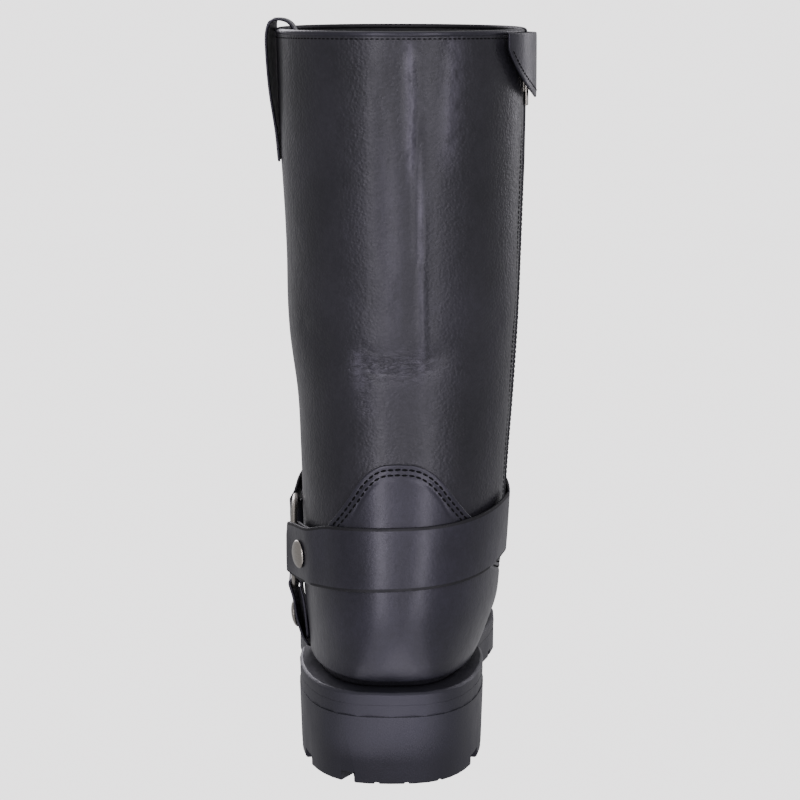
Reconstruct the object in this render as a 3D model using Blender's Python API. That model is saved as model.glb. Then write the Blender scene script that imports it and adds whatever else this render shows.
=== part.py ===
"""Harness boot for the left foot: lug sole, hollow leather upper, ring harness and a medial zip.

Sizes are in millimetres, and make_object turns them into metres.
+Y points to the toe, +X to the medial side with the zip and -X to the lateral side with the ring.
Forward places are measured from the back of the sole. The origin lies on the floor under the heel.
"""

import math

import bmesh
import bpy
import numpy as np
from mathutils import Matrix

MM = 0.001

# Driving dimensions
SOLE_LENGTH = 305.0
BALL_WIDTH = 106.6
HEEL_HEIGHT = 44.4
BOOT_HEIGHT = 347.0
ORIGIN_FORWARD = 38.0
GAP = 0.3
UPPER_GAP = 0.4

# Sole layers
MIDSOLE_THICK = 6.0
MIDSOLE_ROUND = 1.2
MIDSOLE_FLOOR_INSET = 0.3
OUTSOLE_SIDE_INSET = 0.3
OUTSOLE_TOP_INSET = 0.2
OUTSOLE_EDGE = 2.5
INSOLE_THICK = 3.0
INSOLE_INSET = 4.5
HEEL_BREAST_TOP = 84.0
HEEL_BREAST_FLOOR = 79.0
HEEL_BREAST_TURN = 0.345
HEEL_TAPER = 1.0
HEEL_EDGE = 0.8
HEEL_SIDE_STEPS = 14
LUG_DEPTH = 5.0
LUG_GROOVE = 5.5
HEEL_GROOVE_CENTRE = 42.0
# Angle round the heel, width and depth of each groove
HEEL_GROOVES = (
    (-112.0, 5.5, 5.0),
    (-80.0, 12.5, 5.0),
    (-29.5, 7.0, 5.0),
    (-10.0, 2.2, 0.9),
    (10.0, 2.0, 0.9),
    (33.0, 2.0, 0.9),
    (80.0, 12.5, 5.0),
    (112.0, 5.5, 5.0),
)
HEEL_GROOVE_START = 25.0
HEEL_GROOVE_LENGTH = 40.0
TREAD_FIRST_GROOVE = 178.0
TREAD_GROOVE_PITCH = 18.0
TREAD_GROOVES = 6
TREAD_RIB = 10.0
TREAD_GROOVE_LENGTH = 70.0
TREAD_GROOVE_SLANT = 14.0
TREAD_GROOVE_BELOW = 4.0

# Side view of the sole: forward in percent of its length, heights in percent of the heel height
SOLE_COLUMNS = ("forward", "top", "tread")
SOLE_PROFILE = (
    (0.0, 100.0, 73.9),
    (20.0, 100.0, 73.9),
    (27.5, 98.1, 73.9),
    (34.0, 88.0, 64.2),
    (41.0, 72.5, 44.7),
    (48.0, 58.0, 21.7),
    (54.0, 49.8, 3.8),
    (58.0, 46.9, 0.0),
    (66.0, 46.0, 0.0),
    (78.0, 47.4, 0.0),
    (86.0, 51.2, 3.8),
    (93.0, 57.4, 10.5),
    (100.0, 66.7, 21.0),
)

# Ledge of the sole outside the upper and the bevel under its edge, from the heel's back to the toe
LEDGE_COLUMNS = ("run", "width", "bevel")
LEDGE = (
    (0.0, 10.6, 0.4),
    (0.2, 9.0, 0.4),
    (0.45, 7.0, 1.5),
    (0.75, 5.8, 3.0),
    (1.0, 6.0, 2.5),
)

# Sections of the upper, each a closed loop that slants from the back line to the front line.
# Forward is in percent of the sole's length, heights in percent of the boot's height and half widths
# in percent of the ball width. The rounds are the powers of the loop's two ends.
UPPER_COLUMNS = (
    "level", "back_forward", "back_height", "front_forward", "front_height",
    "heel_lateral", "waist_lateral", "ball_lateral", "heel_medial", "waist_medial", "ball_medial",
    "back_round", "front_round", "toe_shift",
)
UPPER_SECTIONS = (
    (0.00, 3.5, 12.9, 98.0, 8.75, 37.3, 33.0, 49.8, 36.4, 30.0, 48.5, 3.20, 2.90, 4.7),
    (0.02, 2.75, 13.9, 96.7, 12.1, 39.6, 34.6, 50.4, 40.4, 33.5, 51.0, 2.90, 2.75, 4.5),
    (0.04, 2.1, 15.0, 94.4, 14.6, 40.7, 35.9, 50.0, 43.5, 36.8, 52.5, 2.65, 2.60, 4.2),
    (0.065, 1.5, 16.4, 90.2, 16.5, 41.2, 37.1, 48.2, 45.8, 40.3, 52.5, 2.50, 2.48, 3.6),
    (0.09, 1.15, 17.9, 83.6, 18.1, 41.3, 38.0, 46.4, 47.2, 43.3, 51.0, 2.42, 2.38, 2.8),
    (0.15, 0.9, 22.15, 71.5, 20.35, 40.9, 39.7, 43.2, 49.0, 47.3, 49.0, 2.40, 2.25, 1.4),
    (0.22, 1.6, 27.9, 59.7, 24.8, 40.7, 40.6, 41.7, 49.7, 49.6, 48.6, 2.35, 2.20, 0.5),
    (0.30, 3.0, 35.2, 49.5, 31.35, 41.0, 40.8, 40.8, 51.2, 51.3, 50.6, 2.30, 2.20, 0.0),
    (0.38, 4.3, 43.2, 44.6, 40.05, 41.5, 41.4, 41.4, 52.8, 52.8, 52.8, 2.25, 2.20, 0.0),
    (0.45, 4.8, 49.6, 43.1, 48.4, 42.5, 42.5, 42.5, 54.5, 54.5, 54.5, 2.20, 2.20, 0.0),
    (0.54, 4.6, 58.25, 43.0, 58.5, 45.9, 45.9, 45.9, 56.4, 56.4, 56.4, 2.20, 2.20, 0.0),
    (0.68, 3.6, 71.2, 43.9, 72.7, 47.2, 47.2, 47.2, 58.0, 58.0, 58.0, 2.20, 2.20, 0.0),
    (0.85, 2.6, 87.1, 44.9, 87.1, 50.1, 50.1, 50.1, 59.2, 59.2, 59.2, 2.20, 2.20, 0.0),
    (1.00, 2.0, 100.0, 45.6, 100.6, 51.2, 51.2, 51.2, 59.2, 59.2, 59.2, 2.20, 2.20, 0.0),
)
WIDTH_STATIONS = (0.0, 0.15, 0.52, 0.78, 1.0)
DIP_FADE = 6
WALL = 2.2

# Upper's mesh
SIDE_STEPS = 24
LEVEL_STEPS = 23
LEVEL_CROWDING = 1.35

# Counter overlay: half turn from the back line against the height of its top edge
COUNTER_THICK = 1.4
COUNTER_SEAT = 0.55
COUNTER_FLOOR = 49.0
COUNTER_SHIFT = 0.012
COUNTER_COLUMNS = ("turn", "height")
COUNTER_TOP = (
    (0.0, 150.0),
    (0.04, 149.0),
    (0.07, 146.2),
    (0.10, 141.2),
    (0.13, 134.2),
    (0.165, 127.0),
    (0.20, 121.0),
    (0.25, 110.0),
    (0.30, 101.0),
    (0.37, 95.0),
)
COUNTER_COLUMNS_PER_SIDE = 12
COUNTER_ROWS = 9

# Harness ring, flat against the lateral side
RING_FORWARD = 78.0
RING_HEIGHT = 99.0
RING_OUT = 47.4
RING_RADIUS = 22.05
RING_WIRE = 1.65
RING_STEPS = 36
RING_WIRE_STEPS = 8

# Harness straps
STRAP_THICK = 1.6
EYE_CLEARANCE = 0.6
EYE_STEPS = 8
EYE_FOLD_ANGLE = -130.0
EYE_RUN_ANGLE = 90.0
EYE_HALF_WIDTH = 12.0
STRAP_CELLS = 4
STRAP_STEP = 0.033
FOLD_REACHES = (28.0, 36.0, 43.0, 49.0)
HEEL_STRAP_ANGLE = 176.0
INSTEP_STRAP_ANGLE = 27.0
INSTEP_SEAT = 0.9
SOLE_STRAP_ANGLE = -88.0
STRAP_COLUMNS = ("turn", "low", "high", "stand")
HEEL_STRAP = (
    (-0.20, 89.5, 119.5, 0.0),
    (-0.10, 91.0, 120.5, 0.0),
    (0.00, 92.0, 121.0, 0.0),
    (0.10, 93.0, 121.6, 0.0),
    (0.20, 94.5, 123.5, 0.0),
    (0.30, 97.0, 126.5, 0.0),
    (0.37, 99.5, 129.5, 0.0),
)
INSTEP_STRAP = (
    (0.77, 111.0, 137.5, 1.6),
    (0.82, 113.3, 139.0, 1.0),
    (0.88, 114.8, 140.2, 0.4),
    (0.94, 115.7, 141.0, 0.0),
    (1.00, 116.0, 141.0, 0.0),
    (1.06, 115.5, 141.0, 0.0),
    (1.13, 113.5, 140.0, 0.0),
    (1.22, 110.0, 137.0, 0.0),
    (1.33, 104.5, 132.0, 0.0),
    (1.44, 100.0, 128.0, 0.0),
    (1.52, 98.0, 126.0, 0.0),
)
# How far each strap's run stands off its fold, at the fold's places from the ring outward
HEEL_STANDS = (1.6, 0.6, 0.0, 0.0)
INSTEP_STANDS = (1.6, 2.6, 2.6, 2.2)
SOLE_STANDS = (2.4, 3.0, 1.6, 0.4)
SOLE_STRAP_END = 52.4
FRONT_EDGE_SHARES = {"heel": 1.0, "instep": 1.0, "sole": 0.0}
HEEL_STRAP_HALF_WIDTH = 13.5
INSTEP_STRAP_HALF_WIDTH = 12.0
SOLE_STRAP_HALF_WIDTH = 11.0

# Rivets
RIVET_LINE = 1
RIVET_PROFILE = ((7.0, 0.0), (6.9, 0.6), (6.0, 1.4), (3.6, 2.2), (0.0, 2.5))
RIVET_STEPS = 16

# Pull loop over the lateral rim: height and distance off the upper, along the middle of the leather
LOOP_TURN = -0.50
LOOP_WIDTH = 28.0
LOOP_THICK = 1.5
LOOP_CELLS = 4
LOOP_COLUMNS = ("height", "off")
LOOP_PATH = (
    (286.0, 1.1),
    (293.0, 1.2),
    (300.0, 1.6),
    (310.0, 2.9),
    (318.0, 4.0),
    (329.0, 4.8),
    (340.0, 5.2),
    (346.8, 5.1),
    (350.9, 3.5),
    (352.3, 0.6),
    (352.1, -3.2),
    (350.4, -6.6),
    (346.6, -8.8),
    (340.5, -9.0),
    (333.0, -7.4),
    (325.0, -5.4),
    (318.0, -3.8),
)
LOOP_FRONT_SHARE = 0.1

# Zip in the medial side
ZIP_TURN = 0.42
ZIP_BOTTOM = 95.0
ZIP_TOP = 345.0
ZIP_SLOT = 7.0
ZIP_COIL = 5.2
ZIP_TAPE = 20.0
TAPE_THICK = 0.9
TAPE_DEPTH = 2.7
COIL_DEPTH = 0.6
ZIP_ROWS = 26
STRAP_FROM_ZIP = 6.5

# Slider and pull tab, in the slider's own axes: across the zip, up along it and off the upper
SLIDER_HEIGHT = 324.0
SLIDER_PLATE = ((-3.1, -5.0, -0.3), (3.1, 5.0, 0.5))
SLIDER_ARM_HALF = 1.2
SLIDER_ARM = (
    (4.4, 0.2), (4.4, 2.1), (3.8, 2.7), (-3.0, 2.7), (-3.6, 2.1), (-3.6, 1.0),
    (-2.9, 1.0), (-2.9, 2.0), (2.9, 2.0), (2.9, 0.2),
)
PULL_AXIS_UP = 1.0
PULL_AXIS_OFF = 1.25
PULL_THICK = 0.8
PULL_ACROSS = (-2.9, -1.7, 1.7, 2.9)
PULL_ALONG = (0.5, -0.5, -5.6, -12.5)
PULL_HOLE = (1, 1)

# Flap over the top of the zip: turn against its lower edge and its distance off the upper
FLAP_THICK = 1.4
FLAP_TOP = 346.4
FLAP_COLUMNS = ("turn", "low", "off")
FLAP = (
    (0.27, 338.5, 3.2),
    (0.295, 331.5, 3.7),
    (0.325, 325.5, 4.0),
    (0.36, 320.8, 4.2),
    (0.40, 317.6, 4.3),
    (0.44, 316.0, 4.1),
    (0.48, 317.0, 3.2),
    (0.52, 321.0, 1.8),
    (0.56, 327.0, 0.7),
    (0.59, 335.0, 0.4),
)
FLAP_CELLS_ACROSS = 15
FLAP_CELLS_UP = 3

# Materials: colour, roughness and metallic value
LEATHER_LOOK = ((0.016, 0.016, 0.018), 0.42, 0.0)
RUBBER_LOOK = ((0.012, 0.012, 0.013), 0.62, 0.0)
FOOTBED_LOOK = ((0.020, 0.019, 0.019), 0.80, 0.0)
NICKEL_LOOK = ((0.62, 0.61, 0.59), 0.22, 1.0)
ZIP_LOOK = ((0.010, 0.010, 0.011), 0.70, 0.0)

NUDGE = 1e-3
LEVEL_SCAN = np.linspace(0.0, 1.0, 401)
NEWTON_STEPS = 25
LATERAL_START = (-0.42, 0.25)
LATERAL_TURNS = (-0.95, -0.05)
LATERAL_LEVELS = (0.002, 0.9)
SMOOTH_ANGLE = 35.0
BOX_FACES = ((0, 1, 3, 2), (4, 6, 7, 5), (0, 4, 5, 1), (2, 3, 7, 6), (0, 2, 6, 4), (1, 5, 7, 3))


def column(table, names, name):
    """One named column of a table as an array."""
    return np.array([row[names.index(name)] for row in table], dtype=float)


def smooth(knots, values, at):
    """Smooth curve through knots and values, read at one or many places."""
    slopes = np.gradient(values, knots)
    at = np.clip(at, knots[0], knots[-1])
    first = np.clip(np.searchsorted(knots, at) - 1, 0, len(knots) - 2)
    span = knots[first + 1] - knots[first]
    s = (at - knots[first]) / span
    rise = s * s * (3.0 - 2.0 * s)
    start = s * (1.0 - s) ** 2 * span * slopes[first]
    end = s * s * (s - 1.0) * span * slopes[first + 1]
    return values[first] * (1.0 - rise) + values[first + 1] * rise + start + end


def read_table(table, names, name, at):
    """A table's named column, read smoothly against its first column."""
    return smooth(column(table, names, names[0]), column(table, names, name), at)


def sole_height(name, forward):
    """Height of the sole's top or tread at a forward place."""
    percent = read_table(SOLE_PROFILE, SOLE_COLUMNS, name, 100.0 * forward / SOLE_LENGTH)
    return np.maximum(percent, 0.0) * HEEL_HEIGHT / 100.0


def section(name, level):
    """One column of the upper's sections in millimetres, read at a level."""
    value = read_table(UPPER_SECTIONS, UPPER_COLUMNS, name, level)
    if name.endswith("forward"):
        return value * SOLE_LENGTH / 100.0
    if name.endswith("height"):
        return value * BOOT_HEIGHT / 100.0
    if name.endswith("round"):
        return value
    return value * BALL_WIDTH / 100.0


def body_width(side, level, run):
    """Half width of a section before its ends are rounded, from heel, waist and ball."""
    stations = np.array(WIDTH_STATIONS)
    heel = smooth(stations, np.array((1.0, 1.0, 0.0, 0.0, 0.0)), run)
    waist = smooth(stations, np.array((0.0, 0.0, 1.0, 0.0, 0.0)), run)
    ball = smooth(stations, np.array((0.0, 0.0, 0.0, 1.0, 1.0)), run)
    widths = [section(part + side, level) for part in ("heel_", "waist_", "ball_")]
    return widths[0] * heel + widths[1] * waist + widths[2] * ball


def upper_surface(turn, level):
    """Outer surface of the upper.

    turn is 0 at the back line, -1 or 1 at the front line, negative on the lateral side.
    level is 0 at the sole and 1 at the rim, and goes straight on above the rim.
    """
    turn, level = np.broadcast_arrays(np.asarray(turn, float), np.asarray(level, float))
    turn = (turn + 1.0) % 2.0 - 1.0
    above = level - np.clip(level, 0.0, 1.0)
    level = level - above
    run = 0.5 - 0.5 * np.cos(np.pi * np.abs(turn))
    back = section("back_forward", level)
    front = section("front_forward", level)
    low = section("back_height", level)
    high = section("front_height", level)
    forward = back + (front - back) * run

    sole_back = section("back_forward", 0.0)
    sole_forward = sole_back + (section("front_forward", 0.0) - sole_back) * run
    heel_height = section("back_height", 0.0)
    straight = heel_height + (section("front_height", 0.0) - heel_height) * run
    dip = sole_height("top", sole_forward) + UPPER_GAP - straight
    height = low + (high - low) * run + dip * (1.0 - level) ** DIP_FADE + above * BOOT_HEIGHT

    end = np.abs(2.0 * run - 1.0)
    power = np.where(run < 0.5, section("back_round", level), section("front_round", level))
    rounding = np.maximum(1.0 - end ** power, 0.0) ** (1.0 / power)
    lateral = body_width("lateral", level, run)
    medial = body_width("medial", level, run)
    across = np.where(turn < 0.0, -lateral, medial) * rounding + section("toe_shift", level) * run ** 2
    return np.stack((across, forward, height), axis=-1)


def upper_normal(turn, level):
    """Outward unit normal of the upper's surface."""
    inside = np.clip(level, NUDGE, 1.0 - NUDGE)
    around = upper_surface(turn + NUDGE, inside) - upper_surface(turn - NUDGE, inside)
    up = upper_surface(turn, inside + NUDGE) - upper_surface(turn, inside - NUDGE)
    normal = np.cross(around, up)
    return normal / np.linalg.norm(normal, axis=-1, keepdims=True)


def off_upper(turn, level, distance):
    """Points at a distance off the upper's surface, inside where it is negative."""
    turn, level, distance = np.broadcast_arrays(turn, level, distance)
    return upper_surface(turn, level) + upper_normal(turn, level) * distance[..., None]


def level_at(turn, height):
    """Level at which the upper reaches a height, for each turn."""
    turn, height = np.broadcast_arrays(np.asarray(turn, float), np.asarray(height, float))
    levels = np.empty(turn.shape)
    for place in np.ndindex(turn.shape):
        heights = upper_surface(turn[place], LEVEL_SCAN)[:, 2]
        extra = max(height[place] - heights[-1], 0.0) / BOOT_HEIGHT
        levels[place] = np.interp(height[place], heights, LEVEL_SCAN) + extra
    return levels


def beside_zip(level, distance):
    """Turn at a distance in front of the zip's middle line, or behind it where negative."""
    step = upper_surface(ZIP_TURN + NUDGE, level) - upper_surface(ZIP_TURN - NUDGE, level)
    return ZIP_TURN + distance * 2.0 * NUDGE / np.linalg.norm(step, axis=-1)


def lateral_place(forward, height):
    """Turn and level of the lateral surface under a place in the side view."""
    turn = np.full(np.shape(forward), LATERAL_START[0])
    level = np.full(np.shape(forward), LATERAL_START[1])
    for _ in range(NEWTON_STEPS):
        here = upper_surface(turn, level)[..., 1:]
        by_turn = (upper_surface(turn + NUDGE, level)[..., 1:] - here) / NUDGE
        by_level = (upper_surface(turn, level + NUDGE)[..., 1:] - here) / NUDGE
        miss = np.stack((forward, height), axis=-1) - here
        area = by_turn[..., 0] * by_level[..., 1] - by_turn[..., 1] * by_level[..., 0]
        turn = turn + (miss[..., 0] * by_level[..., 1] - miss[..., 1] * by_level[..., 0]) / area
        level = level + (by_turn[..., 0] * miss[..., 1] - by_turn[..., 1] * miss[..., 0]) / area
        turn = np.clip(turn, *LATERAL_TURNS)
        level = np.clip(level, *LATERAL_LEVELS)
    return turn, level


def make_material(name, look):
    colour, roughness, metallic = look
    material = bpy.data.materials.new(name)
    material.use_nodes = True
    shader = material.node_tree.nodes["Principled BSDF"]
    shader.inputs["Base Color"].default_value = (*colour, 1.0)
    shader.inputs["Roughness"].default_value = roughness
    shader.inputs["Metallic"].default_value = metallic
    return material


def make_object(name, points, faces, material, matrix=None):
    """A named object from points in millimetres, its faces turned outward.

    Without a matrix the points are forward places of the whole boot; with one they are in its axes.
    """
    shift = np.zeros(3) if matrix is not None else np.array((0.0, ORIGIN_FORWARD, 0.0))
    vertices = (np.asarray(points, float) - shift) * MM
    mesh = bpy.data.meshes.new(name)
    mesh.from_pydata(vertices.tolist(), [], [list(face) for face in faces])
    bm = bmesh.new()
    bm.from_mesh(mesh)
    bmesh.ops.recalc_face_normals(bm, faces=bm.faces)
    bm.to_mesh(mesh)
    bm.free()
    if material is not None:
        mesh.materials.append(material)
    mesh.shade_smooth()
    mesh.set_sharp_from_angle(angle=math.radians(SMOOTH_ANGLE))
    made = bpy.data.objects.new(name, mesh)
    if matrix is not None:
        made.matrix_world = matrix
    bpy.context.scene.collection.objects.link(made)
    return made


def shell(outer, inner, quads):
    """Points and faces of a wall between two matching surfaces, closed along every open edge."""
    count = len(outer)
    faces = [tuple(quad) for quad in quads]
    faces += [tuple(index + count for index in reversed(quad)) for quad in quads]
    edges = {}
    for quad in quads:
        for start, end in zip(quad, quad[1:] + quad[:1]):
            edges[(start, end)] = True
    for start, end in edges:
        if (end, start) not in edges:
            faces.append((end, start, start + count, end + count))
    return np.concatenate((outer, inner)), faces


def grid_quads(rows, columns):
    """Quads of an open grid of points kept row by row."""
    return [
        (first, first + 1, first + columns + 1, first + columns)
        for row in range(rows - 1)
        for first in range(row * columns, row * columns + columns - 1)
    ]


def sheet(name, outer, inner, material):
    """A sheet of leather between two grids of points."""
    rows, columns = outer.shape[:2]
    points, faces = shell(outer.reshape(-1, 3), inner.reshape(-1, 3), grid_quads(rows, columns))
    return make_object(name, points, faces, material)


def ring_solid(name, rings, material):
    """A solid through closed rings, each from the back point round the lateral side to the front."""
    count = len(rings[0])
    faces = []
    for low in range(len(rings) - 1):
        for i in range(count):
            j = (i + 1) % count
            faces.append((low * count + i, low * count + j, (low + 1) * count + j, (low + 1) * count + i))
    for first in (0, (len(rings) - 1) * count):
        for i in range(count // 2):
            corners = (i, i + 1, count - 1 - i, (count - i) % count)
            kept = list(dict.fromkeys(corners))
            faces.append(tuple(first + corner for corner in kept))
    return make_object(name, np.concatenate(rings), faces, material)


def ring_turns(steps, last=1.0):
    """Turns round a section, from the back along the lateral side and home along the medial side."""
    side = np.linspace(0.0, last, steps + 1)
    lateral = -side[1:]
    medial = side[:0:-1]
    if last == 1.0:
        medial = medial[1:]
    return np.concatenate((side[:1], lateral, medial))


def plan_ring(turn, grow, ledge=True):
    """Plan outline of the sole, or of the upper's foot, grown outward."""
    run = 0.5 - 0.5 * np.cos(np.pi * np.abs(turn))
    here = upper_surface(turn, 0.0)[:, :2]
    along = upper_surface(turn - NUDGE, 0.0)[:, :2] - upper_surface(turn + NUDGE, 0.0)[:, :2]
    outward = np.stack((-along[:, 1], along[:, 0]), axis=-1)
    outward /= np.linalg.norm(outward, axis=-1, keepdims=True)
    width = read_table(LEDGE, LEDGE_COLUMNS, "width", run) if ledge else 0.0
    return here + outward * np.broadcast_to(width + grow, run.shape)[:, None]


def raise_ring(plan, height):
    """A plan outline at a height, or at a height for each point."""
    return np.column_stack((plan, np.broadcast_to(height, len(plan))))


def box_corners(low, high):
    """The eight corners of an upright box."""
    sides = tuple(zip(low, high))
    return np.array([(x, y, z) for x in sides[0] for y in sides[1] for z in sides[2]])


def boxes(name, places):
    """One wire object of upright boxes, each with a centre, size and turn about the upright."""
    corners = box_corners((-0.5, -0.5, -0.5), (0.5, 0.5, 0.5))
    points = []
    faces = []
    for centre, size, degrees in places:
        c, s = math.cos(math.radians(degrees)), math.sin(math.radians(degrees))
        turned = (corners * size) @ np.array(((c, s, 0.0), (-s, c, 0.0), (0.0, 0.0, 1.0)))
        faces += [tuple(len(corners) * len(points) + corner for corner in face) for face in BOX_FACES]
        points.append(turned + centre)
    made = make_object(name, np.concatenate(points), faces, None)
    made.hide_render = True
    made.display_type = "WIRE"
    return made


def cut(solid, cutter, operation="DIFFERENCE"):
    """Cut a solid with another, or join the two."""
    modifier = solid.modifiers.new(operation.lower(), "BOOLEAN")
    modifier.operation = operation
    modifier.object = cutter


def build_heel(rubber):
    """Heel block with a straight breast and radial lugs."""
    turns = ring_turns(HEEL_SIDE_STEPS, HEEL_BREAST_TURN)
    top = sole_height("tread", 0.0) - GAP
    rings = []
    for height, grow in ((0.0, -HEEL_TAPER - HEEL_EDGE), (HEEL_EDGE, -HEEL_TAPER), (top, 0.0)):
        plan = plan_ring(turns, grow)
        breast = HEEL_BREAST_FLOOR + (HEEL_BREAST_TOP - HEEL_BREAST_FLOOR) * height / top
        plan[:, 1] = np.minimum(plan[:, 1], breast)
        plan[HEEL_SIDE_STEPS:HEEL_SIDE_STEPS + 2, 1] = breast
        rings.append(raise_ring(plan, height))
    heel = ring_solid("heel_block", rings, rubber)
    places = []
    for degrees, width, depth in HEEL_GROOVES:
        reach = HEEL_GROOVE_START + HEEL_GROOVE_LENGTH / 2.0
        angle = math.radians(degrees)
        centre = (reach * math.sin(angle), HEEL_GROOVE_CENTRE - reach * math.cos(angle), 0.0)
        places.append((centre, (width, HEEL_GROOVE_LENGTH, 2.0 * depth), degrees))
    cut(heel, boxes("heel_grooves", places))


def build_outsole(rubber):
    """Outsole with arch, toe spring and forefoot lugs."""
    turns = ring_turns(SIDE_STEPS)
    run = 0.5 - 0.5 * np.cos(np.pi * np.abs(turns))
    floor_plan = plan_ring(turns, -read_table(LEDGE, LEDGE_COLUMNS, "bevel", run))
    side_plan = plan_ring(turns, -OUTSOLE_SIDE_INSET)
    top_plan = plan_ring(turns, -OUTSOLE_TOP_INSET)
    tread = sole_height("tread", floor_plan[:, 1])
    side = sole_height("tread", side_plan[:, 1]) + OUTSOLE_EDGE
    top = sole_height("top", top_plan[:, 1]) - MIDSOLE_THICK - GAP
    rings = [raise_ring(floor_plan, tread), raise_ring(side_plan, side), raise_ring(top_plan, top)]
    outsole = ring_solid("outsole", rings, rubber)
    places = []
    for number in range(TREAD_GROOVES):
        forward = TREAD_FIRST_GROOVE + number * TREAD_GROOVE_PITCH
        top = float(sole_height("tread", forward)) + LUG_DEPTH
        for side in (-1.0, 1.0):
            reach = side * (TREAD_RIB + TREAD_GROOVE_LENGTH / 2.0)
            centre = (reach, forward, (top - TREAD_GROOVE_BELOW) / 2.0)
            size = (TREAD_GROOVE_LENGTH, LUG_GROOVE, top + TREAD_GROOVE_BELOW)
            places.append((centre, size, -side * TREAD_GROOVE_SLANT))
    cut(outsole, boxes("tread_grooves", places))


def build_midsole(rubber):
    """Welt and midsole layer with rounded edges."""
    turns = ring_turns(SIDE_STEPS)
    rings = []
    for down, grow in ((MIDSOLE_THICK, -MIDSOLE_FLOOR_INSET), (MIDSOLE_ROUND, 0.0), (0.0, -MIDSOLE_ROUND)):
        plan = plan_ring(turns, grow)
        rings.append(raise_ring(plan, sole_height("top", plan[:, 1]) - down))
    ring_solid("midsole", rings, rubber)


def build_insole(footbed):
    """Footbed that lies on the midsole inside the upper."""
    plan = plan_ring(ring_turns(SIDE_STEPS), -INSOLE_INSET, ledge=False)
    seat = sole_height("top", plan[:, 1]) + GAP
    ring_solid("insole", [raise_ring(plan, seat), raise_ring(plan, seat + INSOLE_THICK)], footbed)


def build_upper(leather):
    """Hollow upper with the zip's slot cut through its medial wall."""
    turns = ring_turns(SIDE_STEPS)
    columns = len(turns)
    levels = np.linspace(0.0, 1.0, LEVEL_STEPS + 1) ** LEVEL_CROWDING
    slot_bottom = float(level_at(ZIP_TURN, ZIP_BOTTOM))
    slot_row = int(np.argmin(np.abs(levels - slot_bottom)))
    levels[slot_row] = slot_bottom
    turn_grid, level_grid = np.meshgrid(turns, levels)
    front_edge = int(np.argmin(np.abs(turns - ZIP_TURN - 0.5 / SIDE_STEPS)))
    rear_edge = front_edge + 1
    turn_grid[:, front_edge] = beside_zip(levels, ZIP_SLOT / 2.0)
    turn_grid[:, rear_edge] = beside_zip(levels, -ZIP_SLOT / 2.0)
    outer = off_upper(turn_grid, level_grid, 0.0)
    inner = off_upper(turn_grid, level_grid, -WALL)
    inner[0, :, 2] = sole_height("top", inner[0, :, 1]) + UPPER_GAP
    inner[-1, :, 2] = outer[-1, :, 2]
    quads = []
    for row in range(LEVEL_STEPS):
        for col in range(columns):
            if col == front_edge and row >= slot_row:
                continue
            following = (col + 1) % columns
            quads.append((
                row * columns + col, row * columns + following,
                (row + 1) * columns + following, (row + 1) * columns + col,
            ))
    points, faces = shell(outer.reshape(-1, 3), inner.reshape(-1, 3), quads)
    make_object("upper", points, faces, leather)


def build_counter(leather):
    """Counter overlay, cut from the upper's own surface under an arched edge."""
    turns = np.linspace(-COUNTER_TOP[-1][0], COUNTER_TOP[-1][0], 2 * COUNTER_COLUMNS_PER_SIDE + 1)
    low = level_at(turns, COUNTER_FLOOR)
    high = level_at(turns, read_table(COUNTER_TOP, COUNTER_COLUMNS, "height", np.abs(turns - COUNTER_SHIFT)))
    share = np.linspace(0.0, 1.0, COUNTER_ROWS + 1)[:, None]
    levels = low + (high - low) * share
    outer = off_upper(turns + 0.0 * share, levels, COUNTER_SEAT + COUNTER_THICK)
    inner = off_upper(turns + 0.0 * share, levels, COUNTER_SEAT)
    sheet("counter", outer, inner, leather)


def eye_line(direction, reach, off, half_width):
    """Points across a strap, parallel to the ring's wire, in the ring's plane or off it."""
    side = np.linspace(-1.0, 1.0, STRAP_CELLS + 1) * half_width
    bow = RING_RADIUS - np.sqrt(RING_RADIUS ** 2 - np.minimum(np.abs(side), EYE_HALF_WIDTH) ** 2)
    angle = math.radians(direction)
    across_sign = -1.0 if abs(direction) > 90.0 else 1.0
    along = reach - bow
    forward = RING_FORWARD + along * math.cos(angle) - across_sign * side * math.sin(angle)
    height = RING_HEIGHT + along * math.sin(angle) + across_sign * side * math.cos(angle)
    return np.column_stack((np.full(len(side), -RING_OUT - off), forward, height))


def seat_line(direction, reach, off, half_width):
    """The same line laid on the upper, at a distance off its surface."""
    flat = eye_line(direction, reach, 0.0, half_width)
    turn, level = lateral_place(flat[:, 1], flat[:, 2])
    return off_upper(turn, level, off)


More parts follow.
